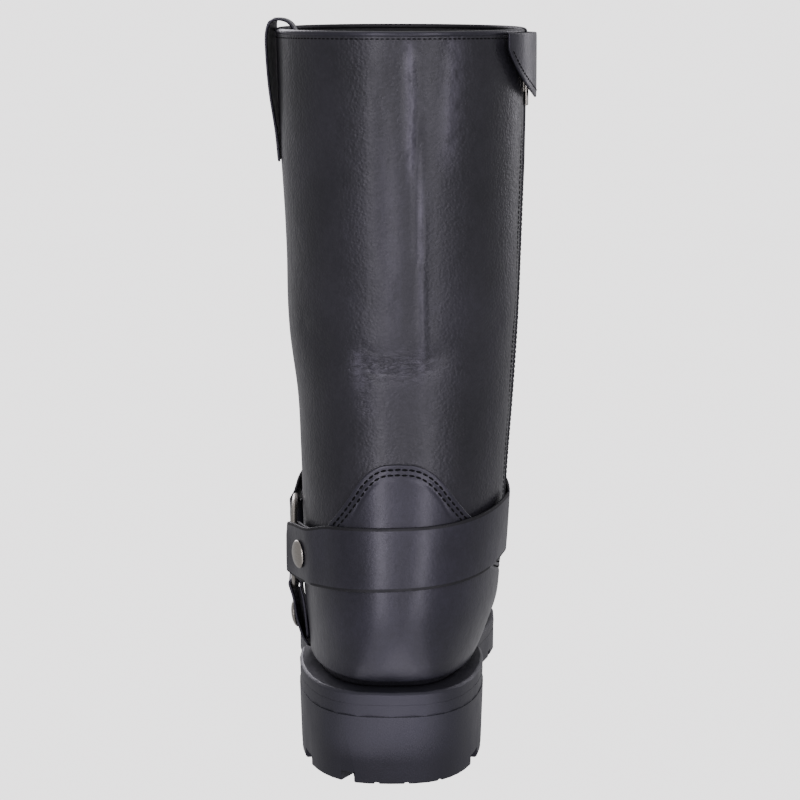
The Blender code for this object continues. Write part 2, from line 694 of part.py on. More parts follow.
def strap_lines(direction, seat, half_width, stands, front_share, far_lines, run_out):
    """Two sides of a strap: its fold against the boot, its eye round the ring and its run over the fold."""
    half = STRAP_THICK / 2.0
    eye = RING_WIRE + EYE_CLEARANCE + half
    fold = seat + half
    run = fold + STRAP_THICK + GAP
    outer = []
    inner = []
    for reach in reversed(FOLD_REACHES):
        outer.append(seat_line(direction, reach, fold - half, half_width))
        inner.append(seat_line(direction, reach, fold + half, half_width))
    for step in range(EYE_STEPS + 1):
        degrees = EYE_FOLD_ANGLE + (EYE_RUN_ANGLE - EYE_FOLD_ANGLE) * step / EYE_STEPS
        angle = math.radians(degrees)
        for lines, radius in ((outer, eye + half), (inner, eye - half)):
            reach = RING_RADIUS - radius * math.cos(angle)
            width = min(EYE_HALF_WIDTH, half_width)
            lines.append(eye_line(direction, reach, radius * math.sin(angle), width))
    edges = np.linspace(1.0, front_share, STRAP_CELLS + 1)
    for reach, stand in zip(FOLD_REACHES, np.outer(stands, edges)):
        outer.append(seat_line(direction, reach, run + stand + half, half_width))
        inner.append(seat_line(direction, reach, run + stand - half, half_width))
    for reach in run_out:
        outer.append(seat_line(direction, reach, fold + half, half_width))
        inner.append(seat_line(direction, reach, fold - half, half_width))
    for turn, level, stand in far_lines:
        outer.append(off_upper(turn, level, fold + stand + half))
        inner.append(off_upper(turn, level, fold + stand - half))
    return np.array(outer), np.array(inner)


def band_lines(table, zip_side):
    """Lines across a band on the upper; the last one runs beside the zip."""
    count = round((table[-1][0] - table[0][0]) / STRAP_STEP)
    turns = np.linspace(table[0][0], table[-1][0], count + 1)
    lows = read_table(table, STRAP_COLUMNS, "low", turns)
    highs = read_table(table, STRAP_COLUMNS, "high", turns)
    stands = read_table(table, STRAP_COLUMNS, "stand", turns)
    share = np.linspace(0.0, 1.0, STRAP_CELLS + 1)
    lines = []
    for turn, low, high, stand in zip(turns, lows, highs, stands):
        across = np.full(STRAP_CELLS + 1, turn if zip_side < 0.0 else -turn)
        levels = level_at(across, low + (high - low) * share)
        lines.append((across, levels, stand))
    levels = lines[-1][1]
    lines[-1] = (beside_zip(levels, zip_side * STRAP_FROM_ZIP), levels, lines[-1][2])
    return lines


def build_straps(leather, nickel):
    """The three harness straps, each folded round the ring and closed by a rivet."""
    on_counter = COUNTER_SEAT + COUNTER_THICK + GAP
    straps = (
        (
            "heel", HEEL_STRAP_ANGLE, on_counter, HEEL_STRAP_HALF_WIDTH, HEEL_STANDS,
            band_lines(HEEL_STRAP, -1.0), (),
        ),
        (
            "instep", INSTEP_STRAP_ANGLE, INSTEP_SEAT, INSTEP_STRAP_HALF_WIDTH, INSTEP_STANDS,
            band_lines(INSTEP_STRAP, 1.0), (),
        ),
        (
            "sole", SOLE_STRAP_ANGLE, on_counter, SOLE_STRAP_HALF_WIDTH, SOLE_STANDS,
            (), (SOLE_STRAP_END,),
        ),
    )
    for label, direction, seat, half_width, stands, far, run_out in straps:
        share = FRONT_EDGE_SHARES[label]
        outer, inner = strap_lines(direction, seat, half_width, stands, share, far, run_out)
        sheet(label + "_strap", outer, inner, leather)
        middle = STRAP_CELLS // 2
        line = len(FOLD_REACHES) + EYE_STEPS + 1 + RIVET_LINE
        along = outer[line + 1, middle] - outer[line - 1, middle]
        across = outer[line, middle + 1] - outer[line, middle - 1]
        outward = np.cross(along, across)
        outward *= np.sign(outward @ (outer - inner)[line, middle]) / np.linalg.norm(outward)
        place = outer[line, middle] + outward * GAP
        lathe("rivet_" + label, RIVET_PROFILE, RIVET_STEPS, nickel, axes_at(place, outward))


def axes_at(place, outward, up=(0.0, 0.0, 1.0)):
    """Matrix with its Z axis outward and its Y axis near a given up direction, at a place on the boot."""
    z = np.asarray(outward, float) / np.linalg.norm(outward)
    x = np.cross(up, z)
    x /= np.linalg.norm(x)
    y = np.cross(z, x)
    rows = np.eye(4)
    rows[:3, 0] = x
    rows[:3, 1] = y
    rows[:3, 2] = z
    rows[:3, 3] = (np.asarray(place) - (0.0, ORIGIN_FORWARD, 0.0)) * MM
    return Matrix(rows.tolist())


def lathe(name, profile, steps, material, matrix):
    """A turned solid about the matrix's Z axis, from a profile that runs from its rim to its crown."""
    points = []
    for radius, height in profile[:-1]:
        for step in range(steps):
            angle = 2.0 * math.pi * step / steps
            points.append((radius * math.cos(angle), radius * math.sin(angle), height))
    points.append((0.0, 0.0, profile[-1][1]))
    faces = [tuple(reversed(range(steps)))]
    rings = len(profile) - 1
    for ring in range(rings - 1):
        for step in range(steps):
            after = (step + 1) % steps
            faces.append((
                ring * steps + step, ring * steps + after,
                (ring + 1) * steps + after, (ring + 1) * steps + step,
            ))
    crown = len(points) - 1
    last = (rings - 1) * steps
    for step in range(steps):
        faces.append((last + step, last + (step + 1) % steps, crown))
    return make_object(name, points, faces, material, matrix)


def build_ring(nickel):
    """Round harness ring; its origin is on the axis that it turns about."""
    mesh = bpy.data.meshes.new("harness_ring")
    bm = bmesh.new()
    place = Matrix.Translation((RING_RADIUS * MM, 0.0, 0.0)) @ Matrix.Rotation(math.pi / 2.0, 4, "X")
    wire = bmesh.ops.create_circle(bm, segments=RING_WIRE_STEPS, radius=RING_WIRE * MM, matrix=place)
    edges = list({edge for vertex in wire["verts"] for edge in vertex.link_edges})
    bmesh.ops.spin(
        bm, geom=edges, cent=(0.0, 0.0, 0.0), axis=(0.0, 0.0, 1.0),
        angle=2.0 * math.pi, steps=RING_STEPS, use_merge=True,
    )
    bmesh.ops.remove_doubles(bm, verts=bm.verts, dist=1e-6)
    bmesh.ops.recalc_face_normals(bm, faces=bm.faces)
    bm.to_mesh(mesh)
    bm.free()
    mesh.materials.append(nickel)
    mesh.shade_smooth()
    ring = bpy.data.objects.new("harness_ring", mesh)
    ring.matrix_world = axes_at((-RING_OUT, RING_FORWARD, RING_HEIGHT), (-1.0, 0.0, 0.0))
    bpy.context.scene.collection.objects.link(ring)


def build_loop(leather):
    """Pull loop, sewn outside and inside the lateral wall and arched over the rim."""
    path = np.column_stack((
        column(LOOP_PATH, LOOP_COLUMNS, "height"),
        column(LOOP_PATH, LOOP_COLUMNS, "off"),
    ))
    along = np.gradient(path, axis=0)
    along /= np.linalg.norm(along, axis=1, keepdims=True)
    outward = np.column_stack((-along[:, 1], along[:, 0])) * LOOP_THICK / 2.0
    rim = upper_surface(LOOP_TURN + NUDGE, 1.0) - upper_surface(LOOP_TURN - NUDGE, 1.0)
    half_turn = LOOP_WIDTH / 2.0 * 2.0 * NUDGE / np.linalg.norm(rim)
    turns = LOOP_TURN + np.linspace(-half_turn, half_turn, LOOP_CELLS + 1)
    share = np.linspace(LOOP_FRONT_SHARE, 1.0, LOOP_CELLS + 1)
    lifted = np.maximum(path[:, 1:] - path[0, 1], 0.0)
    sides = []
    for line in (path + outward, path - outward):
        levels = level_at(turns[None, :], line[:, :1])
        sides.append(off_upper(turns[None, :], levels, line[:, 1:] - lifted * (1.0 - share)))
    sheet("pull_loop", sides[0], sides[1], leather)


def build_zip(tape):
    """Zip tape behind the wall with the coil standing in the slot."""
    half_tape, half_coil = ZIP_TAPE / 2.0, ZIP_COIL / 2.0
    profile = (
        (-half_tape, -TAPE_DEPTH - TAPE_THICK), (half_tape, -TAPE_DEPTH - TAPE_THICK),
        (half_tape, -TAPE_DEPTH), (half_coil, -TAPE_DEPTH), (half_coil, -COIL_DEPTH),
        (-half_coil, -COIL_DEPTH), (-half_coil, -TAPE_DEPTH), (-half_tape, -TAPE_DEPTH),
    )
    heights = np.linspace(ZIP_BOTTOM + 2.0 * GAP, ZIP_TOP, ZIP_ROWS + 1)
    levels = level_at(np.full(len(heights), ZIP_TURN), heights)
    lines = np.array([off_upper(beside_zip(levels, across), levels, off) for across, off in profile])
    points = lines.transpose(1, 0, 2).reshape(-1, 3)
    sides = len(profile)
    faces = []
    for row in range(ZIP_ROWS):
        for side in range(sides):
            after = (side + 1) % sides
            faces.append((
                row * sides + side, row * sides + after,
                (row + 1) * sides + after, (row + 1) * sides + side,
            ))
    for first in (0, ZIP_ROWS * sides):
        faces.append((first, first + 1, first + 2, first + 3, first + 6, first + 7))
        faces.append((first + 3, first + 4, first + 5, first + 6))
    make_object("zip", points, faces, tape)


def slider_axes():
    """Matrix of the slider: X across the zip, Y up along it and Z off the upper."""
    level = float(level_at(ZIP_TURN, SLIDER_HEIGHT))
    up = upper_surface(ZIP_TURN, level + NUDGE) - upper_surface(ZIP_TURN, level - NUDGE)
    return axes_at(upper_surface(ZIP_TURN, level), upper_normal(ZIP_TURN, level), up)


def build_slider(nickel):
    """Slider with the arm that holds the pull tab, and the tab on its own axis."""
    matrix = slider_axes()
    slider = make_object("zip_slider", box_corners(*SLIDER_PLATE), BOX_FACES, nickel, matrix)
    sides = len(SLIDER_ARM)
    points = [(x, up, off) for x in (-SLIDER_ARM_HALF, SLIDER_ARM_HALF) for up, off in SLIDER_ARM]
    faces = [tuple(range(sides)), tuple(range(2 * sides - 1, sides - 1, -1))]
    faces += [(i, i + sides, (i + 1) % sides + sides, (i + 1) % sides) for i in range(sides)]
    arm = make_object("slider_arm", points, faces, None, matrix)
    arm.hide_render = True
    arm.display_type = "WIRE"
    cut(slider, arm, "UNION")

    axis = matrix @ Matrix.Translation((0.0, PULL_AXIS_UP * MM, PULL_AXIS_OFF * MM))
    across, along = np.meshgrid(PULL_ACROSS, PULL_ALONG)
    flat = np.column_stack((across.ravel(), along.ravel(), np.zeros(across.size)))
    thick = np.array((0.0, 0.0, PULL_THICK / 2.0))
    hole = PULL_HOLE[0] * (len(PULL_ACROSS) - 1) + PULL_HOLE[1]
    quads = [quad for place, quad in enumerate(grid_quads(*across.shape)) if place != hole]
    points, faces = shell(flat + thick, flat - thick, quads)
    make_object("zip_pull", points, faces, nickel, axis)


def build_flap(leather):
    """Flap over the top of the zip, sewn down in front and standing off behind."""
    turns = np.linspace(FLAP[0][0], FLAP[-1][0], FLAP_CELLS_ACROSS + 1)
    low = level_at(turns, read_table(FLAP, FLAP_COLUMNS, "low", turns))
    high = level_at(turns, np.full(len(turns), FLAP_TOP))
    off = read_table(FLAP, FLAP_COLUMNS, "off", turns)
    share = np.linspace(0.0, 1.0, FLAP_CELLS_UP + 1)[:, None]
    levels = low + (high - low) * share
    outer = off_upper(turns + 0.0 * share, levels, off + FLAP_THICK)
    inner = off_upper(turns + 0.0 * share, levels, off + 0.0 * share)
    sheet("zip_flap", outer, inner, leather)


def main():
    for old in list(bpy.data.objects):
        bpy.data.objects.remove(old, do_unlink=True)
    leather = make_material("black_leather", LEATHER_LOOK)
    rubber = make_material("black_rubber", RUBBER_LOOK)
    footbed = make_material("footbed_leather", FOOTBED_LOOK)
    nickel = make_material("nickel", NICKEL_LOOK)
    tape = make_material("zip_tape", ZIP_LOOK)
    build_heel(rubber)
    build_outsole(rubber)
    build_midsole(rubber)
    build_insole(footbed)
    build_upper(leather)
    build_counter(leather)
    build_straps(leather, nickel)
    build_ring(nickel)
    build_loop(leather)
    build_zip(tape)
    build_slider(nickel)
    build_flap(leather)


main()
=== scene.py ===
"""Harness boot for the left foot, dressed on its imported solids.

Sizes are in millimetres until on_frame turns them into the frame's metres.
+Y points to the toe, +X to the medial side with the zip and -X to the lateral side with the ring.
The upper is the same function of turn and level as its solid: turn is 0 at the back line and -1 or 1
at the front line, negative on the lateral side; level is 0 at the sole and 1 at the rim.
"""

import math

import bmesh
import bpy
import numpy as np
from mathutils import Matrix, Vector, noise


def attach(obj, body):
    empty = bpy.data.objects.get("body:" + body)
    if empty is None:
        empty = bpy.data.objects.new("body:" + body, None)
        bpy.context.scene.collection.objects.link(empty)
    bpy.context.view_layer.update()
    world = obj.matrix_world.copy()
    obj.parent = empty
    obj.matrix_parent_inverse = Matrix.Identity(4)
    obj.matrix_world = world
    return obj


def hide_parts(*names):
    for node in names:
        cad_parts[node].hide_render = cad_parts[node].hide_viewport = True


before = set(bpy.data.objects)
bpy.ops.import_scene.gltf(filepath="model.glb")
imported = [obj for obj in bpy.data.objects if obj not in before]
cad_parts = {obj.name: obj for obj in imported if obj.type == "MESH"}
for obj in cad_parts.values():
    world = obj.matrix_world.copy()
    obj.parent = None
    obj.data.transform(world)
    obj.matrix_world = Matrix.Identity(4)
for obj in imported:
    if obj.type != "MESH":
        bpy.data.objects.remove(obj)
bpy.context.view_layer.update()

MM = 0.001
MERGE = 1e-6
NUDGE = 1e-3
ORIGIN_FORWARD = 38.0

# Sizes of the solids that the dressed pieces follow
SOLE_LENGTH = 305.0
BALL_WIDTH = 106.6
HEEL_HEIGHT = 44.4
BOOT_HEIGHT = 347.0
UPPER_GAP = 0.4
WALL = 2.2
DIP_FADE = 6
SOLE_COLUMNS = ("forward", "top")
SOLE_TOP = (
    (0.0, 100.0),
    (20.0, 100.0),
    (27.5, 98.1),
    (34.0, 88.0),
    (41.0, 72.5),
    (48.0, 58.0),
    (54.0, 49.8),
    (58.0, 46.9),
    (66.0, 46.0),
    (78.0, 47.4),
    (86.0, 51.2),
    (93.0, 57.4),
    (100.0, 66.7),
)
UPPER_COLUMNS = (
    "level", "back_forward", "back_height", "front_forward", "front_height",
    "heel_lateral", "waist_lateral", "ball_lateral", "heel_medial", "waist_medial", "ball_medial",
    "back_round", "front_round", "toe_shift",
)
UPPER_SECTIONS = (
    (0.00, 3.5, 12.9, 98.0, 8.75, 37.3, 33.0, 49.8, 36.4, 30.0, 48.5, 3.20, 2.90, 4.7),
    (0.02, 2.75, 13.9, 96.7, 12.1, 39.6, 34.6, 50.4, 40.4, 33.5, 51.0, 2.90, 2.75, 4.5),
    (0.04, 2.1, 15.0, 94.4, 14.6, 40.7, 35.9, 50.0, 43.5, 36.8, 52.5, 2.65, 2.60, 4.2),
    (0.065, 1.5, 16.4, 90.2, 16.5, 41.2, 37.1, 48.2, 45.8, 40.3, 52.5, 2.50, 2.48, 3.6),
    (0.09, 1.15, 17.9, 83.6, 18.1, 41.3, 38.0, 46.4, 47.2, 43.3, 51.0, 2.42, 2.38, 2.8),
    (0.15, 0.9, 22.15, 71.5, 20.35, 40.9, 39.7, 43.2, 49.0, 47.3, 49.0, 2.40, 2.25, 1.4),
    (0.22, 1.6, 27.9, 59.7, 24.8, 40.7, 40.6, 41.7, 49.7, 49.6, 48.6, 2.35, 2.20, 0.5),
    (0.30, 3.0, 35.2, 49.5, 31.35, 41.0, 40.8, 40.8, 51.2, 51.3, 50.6, 2.30, 2.20, 0.0),
    (0.38, 4.3, 43.2, 44.6, 40.05, 41.5, 41.4, 41.4, 52.8, 52.8, 52.8, 2.25, 2.20, 0.0),
    (0.45, 4.8, 49.6, 43.1, 48.4, 42.5, 42.5, 42.5, 54.5, 54.5, 54.5, 2.20, 2.20, 0.0),
    (0.54, 4.6, 58.25, 43.0, 58.5, 45.9, 45.9, 45.9, 56.4, 56.4, 56.4, 2.20, 2.20, 0.0),
    (0.68, 3.6, 71.2, 43.9, 72.7, 47.2, 47.2, 47.2, 58.0, 58.0, 58.0, 2.20, 2.20, 0.0),
    (0.85, 2.6, 87.1, 44.9, 87.1, 50.1, 50.1, 50.1, 59.2, 59.2, 59.2, 2.20, 2.20, 0.0),
    (1.00, 2.0, 100.0, 45.6, 100.6, 51.2, 51.2, 51.2, 59.2, 59.2, 59.2, 2.20, 2.20, 0.0),
)
WIDTH_STATIONS = (0.0, 0.15, 0.52, 0.78, 1.0)
LEVEL_SCAN = np.linspace(0.0, 1.0, 401)

# Counter overlay
COUNTER_THICK = 1.4
COUNTER_SEAT = 0.55
COUNTER_FLOOR = 49.0
COUNTER_SHIFT = 0.012
COUNTER_COLUMNS = ("turn", "height")
COUNTER_TOP = (
    (0.0, 150.0),
    (0.04, 149.0),
    (0.07, 146.2),
    (0.10, 141.2),
    (0.13, 134.2),
    (0.165, 127.0),
    (0.20, 121.0),
    (0.25, 110.0),
    (0.30, 101.0),
    (0.37, 95.0),
)
COUNTER_ROWS = (2.3, 4.7)
SEAM_DEPTH = 0.35
SEAM_HALF_WIDTH = 0.7

# Zip
ZIP_TURN = 0.42
ZIP_BOTTOM = 95.0
ZIP_TOP = 345.0
ZIP_SLOT = 7.0
ZIP_TAPE = 20.0
TAPE_DEPTH = 2.7
TAPE_THICK = 0.9
TOOTH_PITCH = 1.35
TOOTH_REACH = 1.15
TOOTH_SIZE = (1.8, 0.55, 0.85)
TOOTH_DEPTH = 1.3

# Flap and bound rim
FLAP_THICK = 1.4
FLAP_COLUMNS = ("turn", "low", "off")
FLAP = (
    (0.27, 338.5, 3.2),
    (0.295, 331.5, 3.7),
    (0.325, 325.5, 4.0),
    (0.36, 320.8, 4.2),
    (0.40, 317.6, 4.3),
    (0.44, 316.0, 4.1),
    (0.48, 317.0, 3.2),
    (0.52, 321.0, 1.8),
    (0.56, 327.0, 0.7),
    (0.59, 335.0, 0.4),
)
RIM_HALF_THICK = 1.75
RIM_HALF_HEIGHT = 1.35
RIM_MIDDLE = 346.0
RIM_SEAM = 343.9
RIM_UNDER_FLAP = 1.25

# Creases of the shaft leather: depth, half width and route by turn and height
CREASES = (
    (0.75, 2.6, ((0.031, 343.0), (0.033, 317.0), (0.035, 286.0))),
    (-0.80, 2.2, ((0.044, 314.0), (0.048, 283.0), (0.050, 254.0), (0.051, 238.0))),
    (0.75, 2.6, ((0.053, 294.0), (0.056, 252.0), (0.058, 227.0), (0.062, 185.0))),
    (-0.45, 5.0, ((-0.020, 332.0), (-0.012, 282.0), (-0.004, 228.0))),
    (0.45, 3.0, ((0.128, 343.0), (0.120, 318.0), (0.112, 292.0))),
    (0.60, 9.0, ((-0.17, 214.0), (-0.06, 208.0), (0.05, 208.0), (0.15, 214.0))),
    (-0.80, 7.0, ((-0.18, 201.0), (-0.07, 195.0), (0.04, 195.0), (0.15, 201.0))),
    (-0.36, 0.9, ((-0.115, 201.0), (-0.06, 197.5), (0.00, 197.0), (0.03, 198.5))),
    (-0.32, 0.8, ((-0.085, 205.0), (-0.03, 202.0), (0.02, 202.5))),
    (-0.36, 0.9, ((-0.10, 195.5), (-0.04, 192.0), (0.01, 192.5), (0.05, 195.0))),
    (-0.32, 0.8, ((0.005, 199.8), (0.05, 197.0), (0.10, 199.5))),
    (-0.30, 0.8, ((0.02, 193.6), (0.06, 192.4), (0.105, 194.5))),
    (-0.30, 0.8, ((-0.05, 189.0), (0.00, 187.6), (0.05, 189.5))),
    (-0.26, 0.7, ((-0.08, 198.8), (-0.06, 195.0), (-0.05, 192.0))),
    (-0.26, 0.7, ((-0.03, 200.8), (-0.02, 197.0), (-0.025, 193.0))),
    (-0.26, 0.7, ((0.018, 201.5), (0.028, 198.0), (0.022, 193.5))),
    (-0.26, 0.7, ((0.060, 198.5), (0.066, 195.5), (0.058, 191.5))),
    (-0.45, 6.0, ((-0.33, 216.0), (-0.24, 207.0), (-0.17, 204.0))),
    (-0.45, 6.0, ((0.16, 205.0), (0.24, 209.0), (0.32, 218.0))),
    (-0.9, 8.0, ((0.80, 170.0), (0.92, 162.0), (1.00, 160.5), (1.08, 162.0), (1.20, 170.0))),
    (0.7, 8.0, ((0.80, 186.0), (0.92, 179.0), (1.00, 177.0), (1.08, 179.0), (1.20, 186.0))),
)
# Painted highlights along the shaft's crease ridges, its back line and the ankle: strength, half width and
# route by turn and height
PAINTED_SHEEN_SHAFT = (
    (0.80, 2.2, ((0.030, 350.0), (0.033, 317.0), (0.036, 270.0))),
    (0.70, 1.4, ((0.053, 300.0), (0.056, 252.0), (0.058, 227.0), (0.062, 178.0))),
    (0.42, 4.5, ((0.134, 352.0), (0.124, 318.0), (0.112, 280.0))),
    (0.22, 5.0, ((-0.008, 310.0), (-0.002, 250.0), (0.002, 200.0))),
    (0.30, 2.2, ((-0.09, 204.0), (-0.088, 194.0), (-0.09, 182.0))),
)
# Scuffs rubbed pale on the counter: strength, half width and route by turn and height
RUBBED_COUNTER = (
    (1.0, 0.8, ((-0.064, 70.8), (-0.045, 69.8), (-0.024, 69.8))),
    (0.8, 0.7, ((-0.056, 68.6), (-0.046, 68.2), (-0.036, 68.4))),
)
# Places with a fine net of wrinkles, bumped and with highlights painted on their crests: strength, half width
# and route by turn and height
CREASED_ANKLE = (
    (1.0, 7.5, ((-0.14, 198.0), (-0.06, 196.0), (0.04, 196.0), (0.12, 198.0))),
    (0.6, 4.0, ((-0.080, 194.0), (-0.072, 183.0), (-0.060, 168.0))),
)
CREASE_POINTS = 40
CREASE_FADE = 0.22
SWELL_HEIGHTS = (152.0, 182.0, 332.0, 345.0)
SWELL_SIZES = (48.0, 19.0)
SWELL_DEPTHS = (0.55, 0.13)


def column(table, names, name):
    """One named column of a table as an array."""
    return np.array([row[names.index(name)] for row in table], dtype=float)


def smooth(knots, values, at):
    """Smooth curve through knots and values, read at one or many places."""
    slopes = np.gradient(values, knots)
    at = np.clip(at, knots[0], knots[-1])
    first = np.clip(np.searchsorted(knots, at) - 1, 0, len(knots) - 2)
    span = knots[first + 1] - knots[first]
    s = (at - knots[first]) / span
    rise = s * s * (3.0 - 2.0 * s)
    start = s * (1.0 - s) ** 2 * span * slopes[first]
    end = s * s * (s - 1.0) * span * slopes[first + 1]
    return values[first] * (1.0 - rise) + values[first + 1] * rise + start + end


def read_table(table, names, name, at):
    """A table's named column, read smoothly against its first column."""
    return smooth(column(table, names, names[0]), column(table, names, name), at)


def sole_top(forward):
    """Height of the sole's top at a forward place."""
    return read_table(SOLE_TOP, SOLE_COLUMNS, "top", 100.0 * forward / SOLE_LENGTH) * HEEL_HEIGHT / 100.0


def section(name, level):
    """One column of the upper's sections in millimetres, read at a level."""
    value = read_table(UPPER_SECTIONS, UPPER_COLUMNS, name, level)
    if name.endswith("forward"):
        return value * SOLE_LENGTH / 100.0
    if name.endswith("height"):
        return value * BOOT_HEIGHT / 100.0
    if name.endswith("round"):
        return value
    return value * BALL_WIDTH / 100.0


def body_width(side, level, run):
    """Half width of a section before its ends are rounded, from heel, waist and ball."""
    stations = np.array(WIDTH_STATIONS)
    heel = smooth(stations, np.array((1.0, 1.0, 0.0, 0.0, 0.0)), run)
    waist = smooth(stations, np.array((0.0, 0.0, 1.0, 0.0, 0.0)), run)
    ball = smooth(stations, np.array((0.0, 0.0, 0.0, 1.0, 1.0)), run)
    widths = [section(part + side, level) for part in ("heel_", "waist_", "ball_")]
    return widths[0] * heel + widths[1] * waist + widths[2] * ball


def upper_surface(turn, level):
    """Outer surface of the upper, which goes straight on above the rim."""
    turn, level = np.broadcast_arrays(np.asarray(turn, float), np.asarray(level, float))
    turn = (turn + 1.0) % 2.0 - 1.0
    above = level - np.clip(level, 0.0, 1.0)
    level = level - above
    run = 0.5 - 0.5 * np.cos(np.pi * np.abs(turn))
    back = section("back_forward", level)
    front = section("front_forward", level)
    low = section("back_height", level)
    high = section("front_height", level)
    forward = back + (front - back) * run

    sole_back = section("back_forward", 0.0)
    sole_forward = sole_back + (section("front_forward", 0.0) - sole_back) * run
    heel_height = section("back_height", 0.0)
    straight = heel_height + (section("front_height", 0.0) - heel_height) * run
    dip = sole_top(sole_forward) + UPPER_GAP - straight
    height = low + (high - low) * run + dip * (1.0 - level) ** DIP_FADE + above * BOOT_HEIGHT

    end = np.abs(2.0 * run - 1.0)
    power = np.where(run < 0.5, section("back_round", level), section("front_round", level))
    rounding = np.maximum(1.0 - end ** power, 0.0) ** (1.0 / power)
    lateral = body_width("lateral", level, run)
    medial = body_width("medial", level, run)
    across = np.where(turn < 0.0, -lateral, medial) * rounding + section("toe_shift", level) * run ** 2
    return np.stack((across, forward, height), axis=-1)


def surface_steps(turn, level):
    """How the surface moves with turn and with level."""
    inside = np.clip(level, NUDGE, 1.0 - NUDGE)
    around = upper_surface(turn + NUDGE, inside) - upper_surface(turn - NUDGE, inside)
    up = upper_surface(turn, inside + NUDGE) - upper_surface(turn, inside - NUDGE)
    return around / (2.0 * NUDGE), up / (2.0 * NUDGE)


def unit(vectors):
    """Vectors brought to length one."""
    return vectors / np.linalg.norm(vectors, axis=-1, keepdims=True)


def upper_normal(turn, level):
    """Outward unit normal of the upper's surface."""
    around, up = surface_steps(turn, level)
    return unit(np.cross(around, up))


def off_upper(turn, level, distance):
    """Points at a distance off the upper's surface, inside where it is negative."""
    turn, level, distance = np.broadcast_arrays(turn, level, distance)
    return upper_surface(turn, level) + upper_normal(turn, level) * distance[..., None]


def level_at(turn, height):
    """Level at which the upper reaches a height, for each turn."""
    turn, height = np.broadcast_arrays(np.asarray(turn, float), np.asarray(height, float))
    scans = upper_surface(turn.reshape(-1, 1), LEVEL_SCAN)[..., 2]
    levels = np.empty(turn.size)
    for place, (heights, wanted) in enumerate(zip(scans, height.ravel())):
        extra = max(wanted - heights[-1], 0.0) / BOOT_HEIGHT
        levels[place] = np.interp(wanted, heights, LEVEL_SCAN) + extra
    return levels.reshape(turn.shape)


def beside_zip(level, distance):
    """Turn at a distance in front of the zip's middle line, or behind it where negative."""
    step = upper_surface(ZIP_TURN + NUDGE, level) - upper_surface(ZIP_TURN - NUDGE, level)
    return ZIP_TURN + distance * 2.0 * NUDGE / np.linalg.norm(step, axis=-1)


def beside_route(turn, level, distance):
    """A route on the upper moved sideways, to the right of its direction seen from outside."""
    points = upper_surface(turn, level)
    along = unit(np.gradient(points, axis=0))
    move = np.cross(along, upper_normal(turn, level)) * np.asarray(distance)[..., None]
    around, up = surface_steps(turn, level)
    aa = (around * around).sum(-1)
    bb = (up * up).sum(-1)
    ab = (around * up).sum(-1)
    ma = (move * around).sum(-1)
    mb = (move * up).sum(-1)
    area = aa * bb - ab * ab
    return turn + (ma * bb - mb * ab) / area, level + (mb * aa - ma * ab) / area


def on_frame(points):
    """Points of the boot in the frame's metres."""
    return (np.asarray(points, float) - (0.0, ORIGIN_FORWARD, 0.0)) * MM


# Materials

def linear(code):
    """Linear colour of an sRGB hex value."""
    channels = [int(code[place:place + 2], 16) / 255.0 for place in (1, 3, 5)]
    return tuple(c / 12.92 if c <= 0.04045 else ((c + 0.055) / 1.055) ** 2.4 for c in channels) + (1.0,)


def add(tree, kind, inputs=None, **settings):
    """Add a node with its settings, and set or link its inputs."""
    made = tree.nodes.new("ShaderNode" + kind)
    for name, value in settings.items():
        setattr(made, name, value)
    for name, value in (inputs or {}).items():
        if isinstance(value, bpy.types.NodeSocket):
            tree.links.new(value, made.inputs[name])
        else:
            made.inputs[name].default_value = value
    return made


def spaced(width):
    """Scale of a pattern whose cells are about so many millimetres wide."""
    return 1.0 / (width * MM)


def new_material(name):
    """An empty material with its shader and the object's own coordinates."""
    material = bpy.data.materials.new(name)
    material.use_nodes = True
    tree = material.node_tree
    shader = tree.nodes["Principled BSDF"]
    coords = add(tree, "TexCoord").outputs["Object"]
    return material, tree, shader, coords


# Pale tone painted on rubbed scuffs, and as painted highlights on crease ridges and on the wrinkles' crests
RUB_AND_SHEEN_TONE = "#4d4a54"
# Share of the pale tone painted on the wrinkles' crests as a painted highlight
CREST_PAINTED_SHEEN = 0.32
NET_DEPTH = 0.00035


